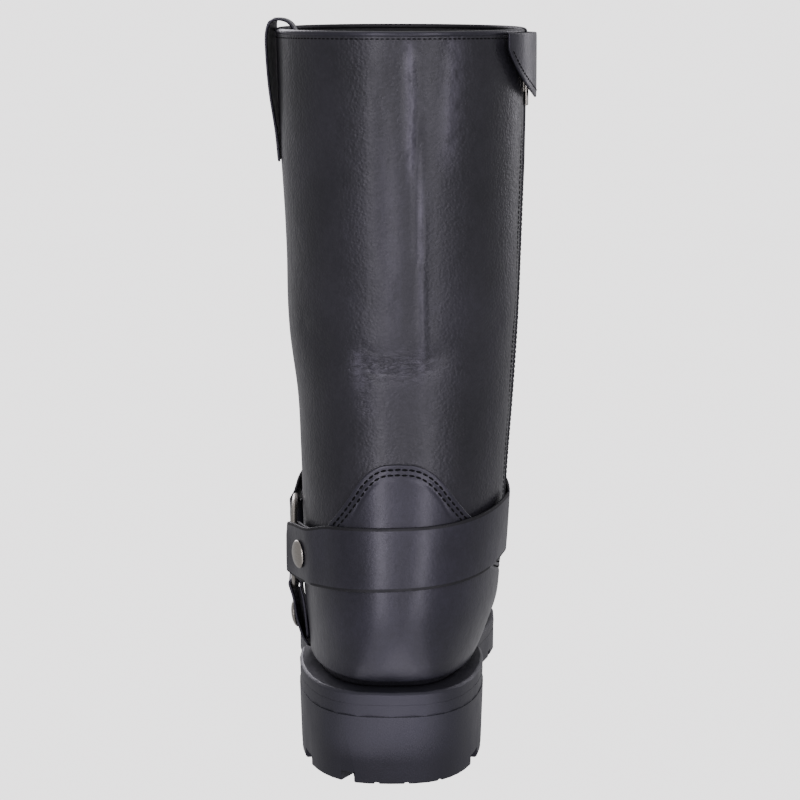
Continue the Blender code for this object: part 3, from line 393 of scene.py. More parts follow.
def black_leather(name, dark, pale, roughness, grain_depth, coat, sheen):
    """Full-grain cowhide, drum dyed black and waxed.

    Its pebbled grain breaks the gloss, soft clouds of wax change colour and gloss, and a thin coat of
    polish gives the clear streaks of light. The grain is about 1 mm wide, drawn a little coarser to show.
    The points' marks turn it paler where it is rubbed on scuffs and where highlights are painted along crease
    ridges, and finely wrinkled where it is creased, with highlights painted on the wrinkles' crests.
    """
    material, tree, shader, coords = new_material(name)
    clouds = add(tree, "TexNoise", {
        "Vector": coords, "Scale": spaced(38.46), "Detail": 3.0, "Roughness": 0.55,
    })
    pores = add(tree, "TexNoise", {"Vector": coords, "Scale": spaced(2.381), "Detail": 3.0, "Roughness": 0.6})
    pebbles = add(
        tree, "TexVoronoi", {"Vector": coords, "Scale": spaced(1.389), "Smoothness": 0.7, "Randomness": 1.0},
        feature="SMOOTH_F1",
    )
    drawn = add(tree, "Mapping", {"Vector": coords, "Scale": (1.0, 1.0, 0.42)})
    wrinkles = add(tree, "TexNoise", {
        "Vector": drawn.outputs["Vector"], "Scale": spaced(2.941), "Detail": 4.0, "Roughness": 0.62,
    })
    tone = add(tree, "MapRange", {
        "Value": clouds.outputs["Fac"], "From Min": 0.32, "From Max": 0.68, "To Min": 0.0, "To Max": 1.0,
    })
    colour = add(tree, "Mix", {"Factor": tone.outputs["Result"]}, data_type="RGBA")
    colour.inputs["A"].default_value = linear(dark)
    colour.inputs["B"].default_value = linear(pale)
    speckle = add(tree, "MapRange", {
        "Value": pores.outputs["Fac"], "From Min": 0.3, "From Max": 0.7, "To Min": 0.82, "To Max": 1.14,
    })
    speckled = add(
        tree, "VectorMath", {"Vector": colour.outputs["Result"], "Scale": speckle.outputs["Result"]},
        operation="SCALE",
    )
    gloss = add(tree, "MapRange", {
        "Value": wrinkles.outputs["Fac"], "From Min": 0.3, "From Max": 0.7,
        "To Min": roughness[0], "To Max": roughness[1],
    })
    folds = add(tree, "Bump", {
        "Height": wrinkles.outputs["Fac"], "Strength": 0.65, "Distance": grain_depth * 1.6,
    })
    grain = add(tree, "Bump", {
        "Height": pebbles.outputs["Distance"], "Strength": 0.8, "Distance": grain_depth * 1.3,
        "Normal": folds.outputs["Normal"],
    })
    # Pale patches from the points' marks: rubbed scuffs on the counter, painted highlights along the shaft's
    # crease ridges
    rub_and_sheen = add(tree, "Attribute", attribute_name="rub_and_sheen")
    broken = add(tree, "MapRange", {
        "Value": wrinkles.outputs["Fac"], "From Min": 0.36, "From Max": 0.62, "To Min": 0.25, "To Max": 1.0,
    })
    rub_and_sheen_patch = add(
        tree, "Math", {0: rub_and_sheen.outputs["Fac"], 1: broken.outputs["Result"]},
        operation="MULTIPLY", use_clamp=True,
    )
    creased = add(tree, "Attribute", attribute_name="creased")
    pulled = add(tree, "Mapping", {"Vector": coords, "Scale": (0.7, 0.7, 1.7)})
    net = add(tree, "TexNoise", {
        "Vector": pulled.outputs["Vector"], "Scale": spaced(2.326), "Detail": 3.0, "Roughness": 0.6,
        "Distortion": 0.8,
    })
    cells = add(tree, "MapRange", {
        "Value": net.outputs["Fac"], "From Min": 0.40, "From Max": 0.62, "To Min": 0.0, "To Max": 1.0,
    })
    crest = add(
        tree, "Math", {0: creased.outputs["Fac"], 1: cells.outputs["Result"]},
        operation="MULTIPLY", use_clamp=True,
    )
    # Painted highlights on the wrinkles' crests, added to the pale patches
    rub_and_sheen_share = add(
        tree, "Math", {0: crest.outputs["Value"], 1: CREST_PAINTED_SHEEN, 2: rub_and_sheen_patch.outputs["Value"]},
        operation="MULTIPLY_ADD", use_clamp=True,
    )
    rub_and_sheen_mix = add(tree, "Mix", {"Factor": rub_and_sheen_share.outputs["Value"]}, data_type="RGBA")
    tree.links.new(speckled.outputs["Vector"], rub_and_sheen_mix.inputs["A"])
    rub_and_sheen_mix.inputs["B"].default_value = linear(RUB_AND_SHEEN_TONE)
    tree.links.new(rub_and_sheen_mix.outputs["Result"], shader.inputs["Base Color"])
    tree.links.new(gloss.outputs["Result"], shader.inputs["Roughness"])
    wrinkled = add(tree, "Bump", {
        "Height": cells.outputs["Result"], "Strength": creased.outputs["Fac"], "Distance": NET_DEPTH,
        "Normal": grain.outputs["Normal"],
    })
    tree.links.new(wrinkled.outputs["Normal"], shader.inputs["Normal"])
    shader.inputs["Specular IOR Level"].default_value = 0.32
    shader.inputs["Specular Tint"].default_value = linear(sheen)
    shader.inputs["Coat Weight"].default_value = coat
    shader.inputs["Coat Roughness"].default_value = 0.22
    return material


def moulded_rubber():
    """Black sole rubber, pressed in a blasted mould.

    A fine sandy skin spreads the light to a dull sheen, with slow clouds from the press.
    """
    material, tree, shader, coords = new_material("moulded_black_rubber")
    clouds = add(tree, "TexNoise", {
        "Vector": coords, "Scale": spaced(29.41), "Detail": 3.0, "Roughness": 0.6,
    })
    sand = add(tree, "TexNoise", {"Vector": coords, "Scale": spaced(1.429), "Detail": 2.0, "Roughness": 0.6})
    colour = add(tree, "Mix", {"Factor": clouds.outputs["Fac"]}, data_type="RGBA")
    colour.inputs["A"].default_value = linear("#141417")
    colour.inputs["B"].default_value = linear("#222228")
    gloss = add(tree, "MapRange", {
        "Value": clouds.outputs["Fac"], "From Min": 0.3, "From Max": 0.7, "To Min": 0.42, "To Max": 0.58,
    })
    skin = add(tree, "Bump", {"Height": sand.outputs["Fac"], "Strength": 0.35, "Distance": 0.00025})
    tree.links.new(colour.outputs["Result"], shader.inputs["Base Color"])
    tree.links.new(gloss.outputs["Result"], shader.inputs["Roughness"])
    tree.links.new(skin.outputs["Normal"], shader.inputs["Normal"])
    shader.inputs["Specular IOR Level"].default_value = 0.38
    shader.inputs["Specular Tint"].default_value = linear("#f1ecff")
    return material


def plated_nickel():
    """Steel with a bright nickel plate, tumbled: clear reflections with fine rubbed scratches."""
    material, tree, shader, coords = new_material("nickel_plated_steel")
    rub_and_sheen = add(tree, "Mapping", {"Vector": coords, "Scale": (1.0, 1.0, 6.0)})
    scratches = add(tree, "TexNoise", {
        "Vector": rub_and_sheen.outputs["Vector"], "Scale": spaced(2.632), "Detail": 4.0, "Roughness": 0.7,
    })
    gloss = add(tree, "MapRange", {
        "Value": scratches.outputs["Fac"], "From Min": 0.3, "From Max": 0.75,
        "To Min": 0.22, "To Max": 0.42,
    })
    tint = add(tree, "Mix", {"Factor": scratches.outputs["Fac"]}, data_type="RGBA")
    tint.inputs["A"].default_value = linear("#a9a49d")
    tint.inputs["B"].default_value = linear("#7a7670")
    marks = add(tree, "Bump", {"Height": scratches.outputs["Fac"], "Strength": 0.12, "Distance": 0.0001})
    tree.links.new(tint.outputs["Result"], shader.inputs["Base Color"])
    tree.links.new(gloss.outputs["Result"], shader.inputs["Roughness"])
    tree.links.new(marks.outputs["Normal"], shader.inputs["Normal"])
    shader.inputs["Metallic"].default_value = 1.0
    return material


def woven_fabric(name, dark, pale, thread, roughness):
    """Black woven polyester: crossing threads that catch a little light on their backs."""
    material, tree, shader, coords = new_material(name)
    scale = 2.0 * math.pi / (20.0 * thread * MM)
    waves = [
        add(tree, "TexWave", {"Vector": coords, "Scale": scale, "Distortion": 0.6, "Detail": 1.0},
            wave_type="BANDS", bands_direction=direction)
        for direction in ("Y", "Z")
    ]
    cloth = add(
        tree, "Math", {0: waves[0].outputs["Fac"], 1: waves[1].outputs["Fac"]}, operation="MULTIPLY",
    )
    colour = add(tree, "Mix", {"Factor": cloth.outputs["Value"]}, data_type="RGBA")
    colour.inputs["A"].default_value = linear(dark)
    colour.inputs["B"].default_value = linear(pale)
    weave = add(tree, "Bump", {"Height": cloth.outputs["Value"], "Strength": 0.6, "Distance": 0.0003})
    tree.links.new(colour.outputs["Result"], shader.inputs["Base Color"])
    tree.links.new(weave.outputs["Normal"], shader.inputs["Normal"])
    shader.inputs["Roughness"].default_value = roughness
    shader.inputs["Sheen Weight"].default_value = 0.15
    return material


def nylon(name, dark, pale, roughness, gloss):
    """Black nylon, drawn smooth: the coil of the zip, or twisted and bonded to thread."""
    material, tree, shader, coords = new_material(name)
    fibres = add(tree, "TexNoise", {
        "Vector": coords, "Scale": spaced(1.111), "Detail": 2.0, "Roughness": 0.5,
    })
    colour = add(tree, "Mix", {"Factor": fibres.outputs["Fac"]}, data_type="RGBA")
    colour.inputs["A"].default_value = linear(dark)
    colour.inputs["B"].default_value = linear(pale)
    twist = add(tree, "Bump", {"Height": fibres.outputs["Fac"], "Strength": 0.4, "Distance": 0.0002})
    tree.links.new(colour.outputs["Result"], shader.inputs["Base Color"])
    tree.links.new(twist.outputs["Normal"], shader.inputs["Normal"])
    shader.inputs["Roughness"].default_value = roughness
    shader.inputs["Specular IOR Level"].default_value = gloss
    return material


SHAFT_LEATHER = black_leather(
    "grained_black_leather", "#131316", "#1d1c21", (0.36, 0.50), 0.00016, 0.10, "#f8f5ff",
)
SMOOTH_LEATHER = black_leather(
    "waxed_black_leather", "#141418", "#1e1d24", (0.34, 0.44), 0.00005, 0.12, "#f1ecff",
)
# Darker leather for the straps' and counter's cut edges and the rim binding's inside: burnished edges
# darkened further as painted shade, and painted shade inside the rim
EDGE_AND_SHADE_LEATHER = black_leather(
    "burnished_edge_and_painted_shade", "#070708", "#0c0c0e", (0.55, 0.70), 0.00005, 0.0, "#f8f5ff",
)
RUBBER = moulded_rubber()
NICKEL = plated_nickel()
TAPE = woven_fabric("woven_zip_tape", "#08080a", "#1d1d20", 0.9, 0.8)
LINING = woven_fabric("woven_lining", "#0b0b0c", "#18171a", 1.4, 0.85)
FOOTBED = woven_fabric("footbed_cloth", "#1a1918", "#343231", 1.2, 0.9)
COIL = nylon("nylon_coil", "#0d0d0f", "#1c1c1f", 0.34, 0.5)
# Thread darker than the leather: black thread, darkened further as painted shade where it sits sunk in its
# seam
SHADED_THREAD = nylon("bonded_thread_painted_shade", "#040405", "#09090a", 0.8, 0.08)


# Making of pieces: radius of the rounded edges and distance of fine stitches off the leather
LEATHER_EDGE = 0.35
FLAP_EDGE = 0.3
RIVET_EDGE = 0.15
METAL_EDGE = 0.22
FOOTBED_EDGE = 0.6
STITCH_LIFT = 0.05

def finish(bm, name, materials, nodes=(), body="boot"):
    """A named piece that rides on its body and stands for its solids."""
    mesh = bpy.data.meshes.new(name)
    bm.to_mesh(mesh)
    bm.free()
    for material in materials:
        mesh.materials.append(material)
    mesh.shade_smooth()
    piece = bpy.data.objects.new(name, mesh)
    bpy.context.scene.collection.objects.link(piece)
    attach(piece, body)
    if nodes:
        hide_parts(*nodes)
    return piece


def laid_sheet(surface, columns, rows, hole=None):
    """A grid laid on a surface of its shares across and up, with a hole of four shares left open."""
    bm = bmesh.new()
    bmesh.ops.create_grid(bm, x_segments=columns, y_segments=rows, size=0.5)
    if hole is not None:
        inside = []
        for face in bm.faces:
            middle = face.calc_center_median()
            across = middle.x + 0.5
            up = middle.y + 0.5
            if hole[0] < across < hole[1] and hole[2] < up < hole[3]:
                inside.append(face)
        bmesh.ops.delete(bm, geom=inside, context="FACES")
    shares = np.array([vertex.co[:2] for vertex in bm.verts]) + 0.5
    places = on_frame(surface(shares[:, 0], shares[:, 1]))
    for vertex, place in zip(bm.verts, places):
        vertex.co = place
    bmesh.ops.remove_doubles(bm, verts=bm.verts, dist=MERGE)
    return bm


def give_wall(piece, thickness, inner=0, rim=0):
    """Give a sheet its thickness inward; inner and rim count on to its inside's and its edge's materials."""
    wall = piece.modifiers.new("wall", "SOLIDIFY")
    wall.thickness = thickness * MM
    wall.offset = -1.0
    wall.material_offset = inner
    wall.material_offset_rim = rim


def round_edges(piece, width, segments=2, angle=40.0):
    """Round the edges that are sharper than an angle."""
    edge = piece.modifiers.new("edge", "BEVEL")
    edge.width = width * MM
    edge.segments = segments
    edge.limit_method = "ANGLE"
    edge.angle_limit = math.radians(angle)
    edge.profile = 0.5


def soften(piece, levels):
    """Subdivide a piece smoothly."""
    smoother = piece.modifiers.new("smooth", "SUBSURF")
    smoother.levels = levels
    smoother.render_levels = levels


def from_solid(node, materials, body="boot", quads=True):
    """A merged copy of a solid, with its triangles joined to quads or its flat faces made whole."""
    bm = bmesh.new()
    bm.from_mesh(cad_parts[node].data)
    bmesh.ops.remove_doubles(bm, verts=bm.verts, dist=MERGE)
    if quads:
        bmesh.ops.join_triangles(
            bm, faces=bm.faces, angle_face_threshold=math.radians(35.0),
            angle_shape_threshold=math.radians(50.0),
        )
    else:
        bmesh.ops.dissolve_limit(
            bm, angle_limit=math.radians(0.8), verts=bm.verts, edges=bm.edges,
            use_dissolve_boundaries=False,
        )
    for face in bm.faces:
        face.material_index = 0
    return finish(bm, node + "_dressed", materials, (node,), body)


def from_lowest(face):
    """A face's corners, turned so that the lowest number comes first."""
    first = face.index(min(face))
    return face[first:] + face[:first]


def strewn(name, template, places, axes, materials):
    """One mesh of many copies of a small shape, each at a place with its own three axes.

    The shape's points and faces are put in order, because the sphere operator's order changes between runs.
    """
    shape = np.round([vertex.co for vertex in template.verts], 5)
    order = np.lexsort(shape.T)
    shape = shape[order]
    rank = np.argsort(order).tolist()
    corners = sorted(from_lowest([rank[vertex.index] for vertex in face.verts]) for face in template.faces)
    template.free()
    points = np.einsum("vk,nkc->nvc", shape, axes) + places[:, None, :]
    count = len(shape)
    faces = [
        [number * count + corner for corner in face]
        for number in range(len(places)) for face in corners
    ]
    mesh = bpy.data.meshes.new(name)
    mesh.from_pydata(on_frame(points.reshape(-1, 3)).tolist(), [], faces)
    bm = bmesh.new()
    bm.from_mesh(mesh)
    bpy.data.meshes.remove(mesh)
    return finish(bm, name, materials)


def bead(size):
    """A small round body with half sizes along its three axes."""
    bm = bmesh.new()
    bmesh.ops.create_uvsphere(bm, u_segments=8, v_segments=5, radius=1.0)
    lying = Matrix.Rotation(math.pi / 2.0, 3, "Y")
    bmesh.ops.rotate(bm, verts=bm.verts, cent=(0.0, 0.0, 0.0), matrix=lying)
    bmesh.ops.scale(bm, verts=bm.verts, vec=size)
    bm.verts.index_update()
    return bm


BOLD_STITCH = (1.4, 0.55, 0.30)
FINE_STITCH = (1.0, 0.30, 0.20)
STITCH_SPACING = 2.36


def sewn_rows(name, rows, size=FINE_STITCH):
    """Stitches along rows on the upper, each row given by turns, levels and a distance off it."""
    pitch = STITCH_SPACING * size[0]
    places = []
    axes = []
    for turn, level, off in rows:
        points = off_upper(turn, level, off)
        lengths = np.concatenate(((0.0,), np.cumsum(np.linalg.norm(np.diff(points, axis=0), axis=1))))
        stops = np.arange(pitch / 2.0, lengths[-1], pitch)
        at_turn = np.interp(stops, lengths, turn)
        at_level = np.interp(stops, lengths, level)
        at_off = np.interp(stops, lengths, np.broadcast_to(off, lengths.shape))
        here = off_upper(at_turn, at_level, at_off)
        steps = np.gradient(points, axis=0)
        along = unit(np.stack([np.interp(stops, lengths, steps[:, k]) for k in range(3)], axis=-1))
        normal = upper_normal(at_turn, at_level)
        places.append(here)
        axes.append(np.stack((along, np.cross(normal, along), normal), axis=1))
    return strewn(name, bead(size), np.concatenate(places), np.concatenate(axes), [SHADED_THREAD])


# Creases and swells of the leather

def along_routes(points, routes):
    """Sum over soft routes on the upper of each one's strength near it, fading at its ends."""
    relief = np.zeros(len(points))
    for depth, half_width, route in routes:
        knots = np.linspace(0.0, 1.0, len(route))
        share = np.linspace(0.0, 1.0, CREASE_POINTS)
        turns = smooth(knots, np.array([place[0] for place in route]), share)
        heights = smooth(knots, np.array([place[1] for place in route]), share)
        path = upper_surface(turns, level_at(turns, heights))
        nearest = np.full(len(points), np.inf)
        run = np.zeros(len(points))
        for step in range(CREASE_POINTS - 1):
            leg = path[step + 1] - path[step]
            along = np.clip(((points - path[step]) @ leg) / (leg @ leg), 0.0, 1.0)
            gap = np.linalg.norm(points - path[step] - along[:, None] * leg, axis=1)
            closer = gap < nearest
            nearest = np.where(closer, gap, nearest)
            run = np.where(closer, (step + along) / (CREASE_POINTS - 1), run)
        fade = np.clip(np.minimum(run, 1.0 - run) / CREASE_FADE, 0.0, 1.0)
        relief += depth * np.exp(-(nearest / half_width) ** 2) * fade * fade * (3.0 - 2.0 * fade)
    return relief


def mark(bm, name, routes):
    """Mark on a sheet's points a named strength along routes, for rubbed scuffs, painted highlights and
    creases.
    """
    points = np.array([vertex.co for vertex in bm.verts]) / MM + (0.0, ORIGIN_FORWARD, 0.0)
    layer = bm.verts.layers.float.new(name)
    for vertex, strength in zip(bm.verts, along_routes(points, routes)):
        vertex[layer] = strength


def swell_relief(points):
    """Slow rises and hollows of the shaft leather, none under the counter and the harness."""
    fade = np.interp(points[:, 2], SWELL_HEIGHTS, (0.0, 1.0, 1.0, 0.3))
    relief = np.zeros(len(points))
    for size, depth in zip(SWELL_SIZES, SWELL_DEPTHS):
        relief += depth * np.array([noise.noise(Vector(point) / size) for point in points])
    return relief * fade


# Upper

UPPER_AROUND = 286
UPPER_UP = 166
CROWD_TURNS = np.linspace(-1.0, 1.0, 801)
CROWD_LEVELS = np.linspace(0.0, 1.0, 801)
SLOT_PULL = 0.04


def crowded(density):
    """Shares of a grid whose lines stand closer together where the density is high."""
    shares = np.cumsum(density)
    return (shares - shares[0]) / (shares[-1] - shares[0])


BACK_SHARES = crowded(1.0 + 1.2 * np.exp(-(CROWD_TURNS / 0.13) ** 2))
ANKLE_SHARES = crowded(
    1.0 + 0.6 * np.exp(-CROWD_LEVELS / 0.1) + 1.3 * np.exp(-((CROWD_LEVELS - 0.52) / 0.045) ** 2),
)
SLOT_BOTTOM = float(level_at(ZIP_TURN, ZIP_BOTTOM))
SLOT_SHARE = float(np.interp(SLOT_BOTTOM, CROWD_LEVELS, ANKLE_SHARES))
SLOT_ROW = round(UPPER_UP * SLOT_SHARE) / UPPER_UP
SLOT_HALF_TURN = float(beside_zip(0.6, ZIP_SLOT / 2.0)) - ZIP_TURN
SLOT_REAR, SLOT_FRONT = (
    round(float(np.interp(ZIP_TURN + side, CROWD_TURNS, BACK_SHARES)) * UPPER_AROUND) / UPPER_AROUND
    for side in (-SLOT_HALF_TURN, SLOT_HALF_TURN)
)


def upper_leather(across, up):
    """The upper's outside with its creases, its columns drawn to the edges of the zip's slot."""
    row = np.interp(up, (0.0, SLOT_ROW, 1.0), (0.0, SLOT_SHARE, 1.0))
    level = np.interp(row, ANKLE_SHARES, CROWD_LEVELS)
    turn, rear_turn, front_turn = (
        np.interp(share, BACK_SHARES, CROWD_TURNS) for share in (across, SLOT_REAR, SLOT_FRONT)
    )
    rear = beside_zip(level, -ZIP_SLOT / 2.0) - rear_turn
    front = beside_zip(level, ZIP_SLOT / 2.0) - front_turn
    share = (0.0, 1.0, 0.0)
    turn = turn + rear * np.interp(across, (SLOT_REAR - SLOT_PULL, SLOT_REAR, SLOT_FRONT), share)
    turn = turn + front * np.interp(across, (SLOT_REAR, SLOT_FRONT, SLOT_FRONT + SLOT_PULL), share)
    points = upper_surface(turn, level)
    return off_upper(turn, level, along_routes(points, CREASES) + swell_relief(points))


def make_upper():
    """Hollow upper of one leather, lined inside."""
    bm = laid_sheet(upper_leather, UPPER_AROUND, UPPER_UP, (SLOT_REAR, SLOT_FRONT, SLOT_ROW, 1.0))
    # Pale strokes painted as highlights along the shaft's crease ridges, back line and ankle
    mark(bm, "rub_and_sheen", PAINTED_SHEEN_SHAFT)
    mark(bm, "creased", CREASED_ANKLE)
    upper = finish(bm, "upper_dressed", [SHAFT_LEATHER, LINING], ("upper",))
    give_wall(upper, WALL, 1)


def make_rim():
    """Rolled binding along the rim, open at the zip."""
    start = float(beside_zip(1.0, ZIP_SLOT / 2.0))
    end = float(beside_zip(1.0, -ZIP_SLOT / 2.0)) + 2.0
    middle_level = level_at(np.array((0.0,)), np.array((RIM_MIDDLE,)))[0]

    def binding(across, up):
        turn = start + (end - start) * across
        angle = 2.0 * math.pi * up
        wrapped = (turn + 1.0) % 2.0 - 1.0
        half = np.interp(wrapped, (FLAP[0][0], 0.50, 0.56, FLAP[-1][0], 0.62),
                         (RIM_HALF_THICK, RIM_HALF_THICK, RIM_UNDER_FLAP, RIM_UNDER_FLAP, RIM_HALF_THICK))
        points = off_upper(turn, middle_level, -WALL / 2.0 + half * np.cos(angle))
        points[:, 2] = points[:, 2] + RIM_HALF_HEIGHT * np.sin(angle)
        return points

    bm = laid_sheet(binding, 300, 14)
    ends = [edge for edge in bm.edges if edge.is_boundary]
    bmesh.ops.holes_fill(bm, edges=ends, sides=0)
    bmesh.ops.recalc_face_normals(bm, faces=bm.faces)
    middle = sum((vertex.co for vertex in bm.verts), Vector()) / len(bm.verts)
    # Faces turned inward get the darker leather: painted shade inside the rim
    for face in bm.faces:
        outward = face.calc_center_median() - middle
        outward.z = 0.0
        face.material_index = int(face.normal.dot(outward.normalized()) < -0.2)
    finish(bm, "rim_binding", [SMOOTH_LEATHER, EDGE_AND_SHADE_LEATHER])


# Counter and its seams

COUNTER_POINTS = 161


def counter_edge():
    """Turns, heights and levels along the counter's arched top edge."""
    turns = np.linspace(-COUNTER_TOP[-1][0], COUNTER_TOP[-1][0], COUNTER_POINTS)
    heights = read_table(COUNTER_TOP, COUNTER_COLUMNS, "height", np.abs(turns - COUNTER_SHIFT))
    return turns, heights, level_at(turns, heights)


def counter_leather(across, up):
    """The counter's outside."""
    turns, heights, tops = counter_edge()
    floors = level_at(turns, COUNTER_FLOOR)
    turn = turns[0] + (turns[-1] - turns[0]) * across
    low = np.interp(turn, turns, floors)
    high = np.interp(turn, turns, tops)
    span = np.interp(turn, turns, heights) - COUNTER_FLOOR
    along = unit(np.gradient(upper_surface(turns, tops), axis=0))
    flatness = np.interp(turn, turns, np.hypot(along[:, 0], along[:, 1]))
    inset = (1.0 - up) * span * flatness
    groove = sum(np.exp(-((inset - row) / SEAM_HALF_WIDTH) ** 2) for row in COUNTER_ROWS)
    return off_upper(turn, low + (high - low) * up, COUNTER_SEAT + COUNTER_THICK - SEAM_DEPTH * groove)


def make_counter():
    """Counter overlay with two rows of stitches under its edge."""
    bm = laid_sheet(counter_leather, 200, 110)
    mark(bm, "rub_and_sheen", RUBBED_COUNTER)
    counter = finish(bm, "counter_dressed", [SMOOTH_LEATHER, EDGE_AND_SHADE_LEATHER], ("counter",))
    # The counter's cut edge gets the darker leather: painted shade along its top edge
    give_wall(counter, COUNTER_THICK, 0, 1)
    round_edges(counter, LEATHER_EDGE)
    rows = []
    for inset in COUNTER_ROWS:
        turn, heights, level = counter_edge()
        turn, level = beside_route(turn, level, np.full(turn.shape, inset))
        rows.append((turn, level, COUNTER_SEAT + COUNTER_THICK - SEAM_DEPTH * 0.5))
    sewn_rows("counter_stitches", rows, BOLD_STITCH)


# Harness

DARK_EDGE_SLOPE = 0.75


def make_harness():
    """Straps whose cut edges are burnished and darkened further as painted shade, the ring and the rivets."""
    for node in ("heel_strap", "instep_strap", "sole_strap"):
        strap = from_solid(node, [SMOOTH_LEATHER, EDGE_AND_SHADE_LEATHER])
        # Cut edges facing up and down get the darker leather: burnished edges darkened further as painted
        # shade
        for face in strap.data.polygons:
            face.material_index = int(abs(face.normal.z) > DARK_EDGE_SLOPE)
        round_edges(strap, LEATHER_EDGE, 1)
        soften(strap, 2)
    ring = from_solid("harness_ring", [NICKEL], "ring")
    soften(ring, 2)
    for node in ("rivet_heel", "rivet_instep", "rivet_sole"):
        rivet = from_solid(node, [NICKEL])
        round_edges(rivet, RIVET_EDGE, 1, 60.0)
        soften(rivet, 2)


# Zip

ZIP_POINTS = 80
ZIP_SEAM_POINTS = 120
ZIP_SEAM_REACH = 6.0
ZIP_SEAM_TOP = 341.0
TAPE_START = 0.6


def zip_tape(across, up):
    """The zip's tape behind the slot."""
    height = ZIP_BOTTOM + TAPE_START + (ZIP_TOP - ZIP_BOTTOM - TAPE_START) * up
    knots = np.linspace(ZIP_BOTTOM, ZIP_TOP, ZIP_POINTS)
    level = np.interp(height, knots, level_at(ZIP_TURN, knots))
    return off_upper(beside_zip(level, ZIP_TAPE * (across - 0.5)), level, -TAPE_DEPTH)


def make_zip():
    """Tape, the two rows of coil teeth, slider and pull."""
    tape = finish(laid_sheet(zip_tape, 12, 120), "zip_tape_dressed", [TAPE], ("zip",))
    give_wall(tape, TAPE_THICK)
    heights = np.arange(ZIP_BOTTOM + 2.0, ZIP_TOP - 1.0, TOOTH_PITCH / 2.0)
    levels = level_at(ZIP_TURN, heights)
    sides = np.where(np.arange(len(heights)) % 2 == 0, 1.0, -1.0)
    turns = beside_zip(levels, sides * TOOTH_REACH)
    across = unit(surface_steps(turns, levels)[0])
    normal = upper_normal(turns, levels)
    axes = np.stack((across, np.cross(normal, across), normal), axis=1)
    strewn("zip_coil", bead(TOOTH_SIZE), off_upper(turns, levels, -TOOTH_DEPTH), axes, [COIL])
    for node, body in (("zip_slider", "boot"), ("zip_pull", "pull")):
        metal = from_solid(node, [NICKEL], body, False)
        round_edges(metal, METAL_EDGE, 2, 30.0)
    rows = []
    for distance in (-ZIP_SEAM_REACH, ZIP_SEAM_REACH):
        heights = np.linspace(ZIP_BOTTOM + 2.0, ZIP_SEAM_TOP, ZIP_SEAM_POINTS)
        levels = level_at(ZIP_TURN, heights)
        rows.append((beside_zip(levels, distance), levels, STITCH_LIFT))
    sewn_rows("zip_stitches", rows)


# Flap, pull loop and rim seam

FLAP_SEAM_POINTS = 90
FLAP_SEAM_END = 0.012
FLAP_SEAM_INSET = 3.4
RIM_SEAM_POINTS = 260
RIM_SEAM_END = 9.0


def make_flap():
    """Flap over the top of the zip, with a row of stitches along its lower edge."""
    flap = from_solid("zip_flap", [SMOOTH_LEATHER])
    round_edges(flap, FLAP_EDGE, 1)
    soften(flap, 3)
    turns = np.linspace(FLAP[0][0] + FLAP_SEAM_END, FLAP[-1][0] - FLAP_SEAM_END, FLAP_SEAM_POINTS)
    low = read_table(FLAP, FLAP_COLUMNS, "low", turns) + FLAP_SEAM_INSET
    off = read_table(FLAP, FLAP_COLUMNS, "off", turns) + FLAP_THICK
    sewn_rows("flap_stitches", [(turns, level_at(turns, low), off)])


def make_loop():
    """Pull loop over the lateral rim."""
    loop = from_solid("pull_loop", [SMOOTH_LEATHER])
    round_edges(loop, LEATHER_EDGE, 1)
    soften(loop, 2)


def make_rim_seam():
    """Row of stitches under the rim."""
    start = float(beside_zip(1.0, RIM_SEAM_END))
    end = float(beside_zip(1.0, -RIM_SEAM_END)) + 2.0
    turns = np.linspace(start, end, RIM_SEAM_POINTS)
    sewn_rows("rim_stitches", [(turns, level_at(turns, RIM_SEAM), STITCH_LIFT)])


# Sole

SEAM_GAP = 0.3
MOULD_EDGE = 0.4
SHARP_ANGLE = 35.0
TOP_SLOPE = 0.7
SHARP_UNDER_WELT = 12.0


def mould_edges(bm, node, top):
    """Sharp edges of a sole layer that its mould rounds, without the seams between the layers."""
    highest = max(vertex.co.z for vertex in bm.verts)
    edges = []
    for edge in bm.edges:
        if not edge.is_manifold or edge.calc_face_angle() <= math.radians(SHARP_ANGLE):
            continue
        on_top = [vertex in top for vertex in edge.verts]
        at_seam = not any(on_top) if node == "midsole" else all(on_top)
        lowest = min(vertex.co.z for vertex in edge.verts)
        under_welt = node == "outsole" and lowest > highest - SHARP_UNDER_WELT * MM
        if not at_seam and not under_welt:
            edges.append(edge)
    return edges


def make_sole():
    """Heel, outsole and welt pressed to one rubber wall, with the edges of a mould, and the footbed."""
    for node in ("heel_block", "outsole", "midsole"):
        layer = from_solid(node, [RUBBER], quads=False)
        bm = bmesh.new()
        bm.from_mesh(layer.data)
        bm.normal_update()
        top = {vertex for face in bm.faces if face.normal.z > TOP_SLOPE for vertex in face.verts}
        edges = mould_edges(bm, node, top)
        if node != "midsole":
            bmesh.ops.translate(bm, verts=list(top), vec=(0.0, 0.0, SEAM_GAP * MM))
        bmesh.ops.bevel(
            bm, geom=edges, offset=MOULD_EDGE * MM, offset_type="OFFSET", segments=2, profile=0.5,
            affect="EDGES", material=-1,
        )
        bm.to_mesh(layer.data)
        bm.free()
        layer.data.shade_smooth()
        layer.data.set_sharp_from_angle(angle=math.radians(SHARP_ANGLE))
        layer.modifiers.new("normals", "WEIGHTED_NORMAL").keep_sharp = True
    footbed = from_solid("insole", [FOOTBED], quads=False)
    round_edges(footbed, FOOTBED_EDGE, 2, SHARP_ANGLE)


# Camera, floor and light

FLOOR_GLOW = 3.2
FLOOR_REACH = 9.0
FLOOR_WALL = 6.0
WORLD_GLOW = 0.74
LIGHT_TINT = (0.96, 0.93, 1.0)
CAMERA_LENS = 105.3
CAMERA_PLACE = (0.00385, -1.083, 0.361)
CAMERA_TILT = 80.3
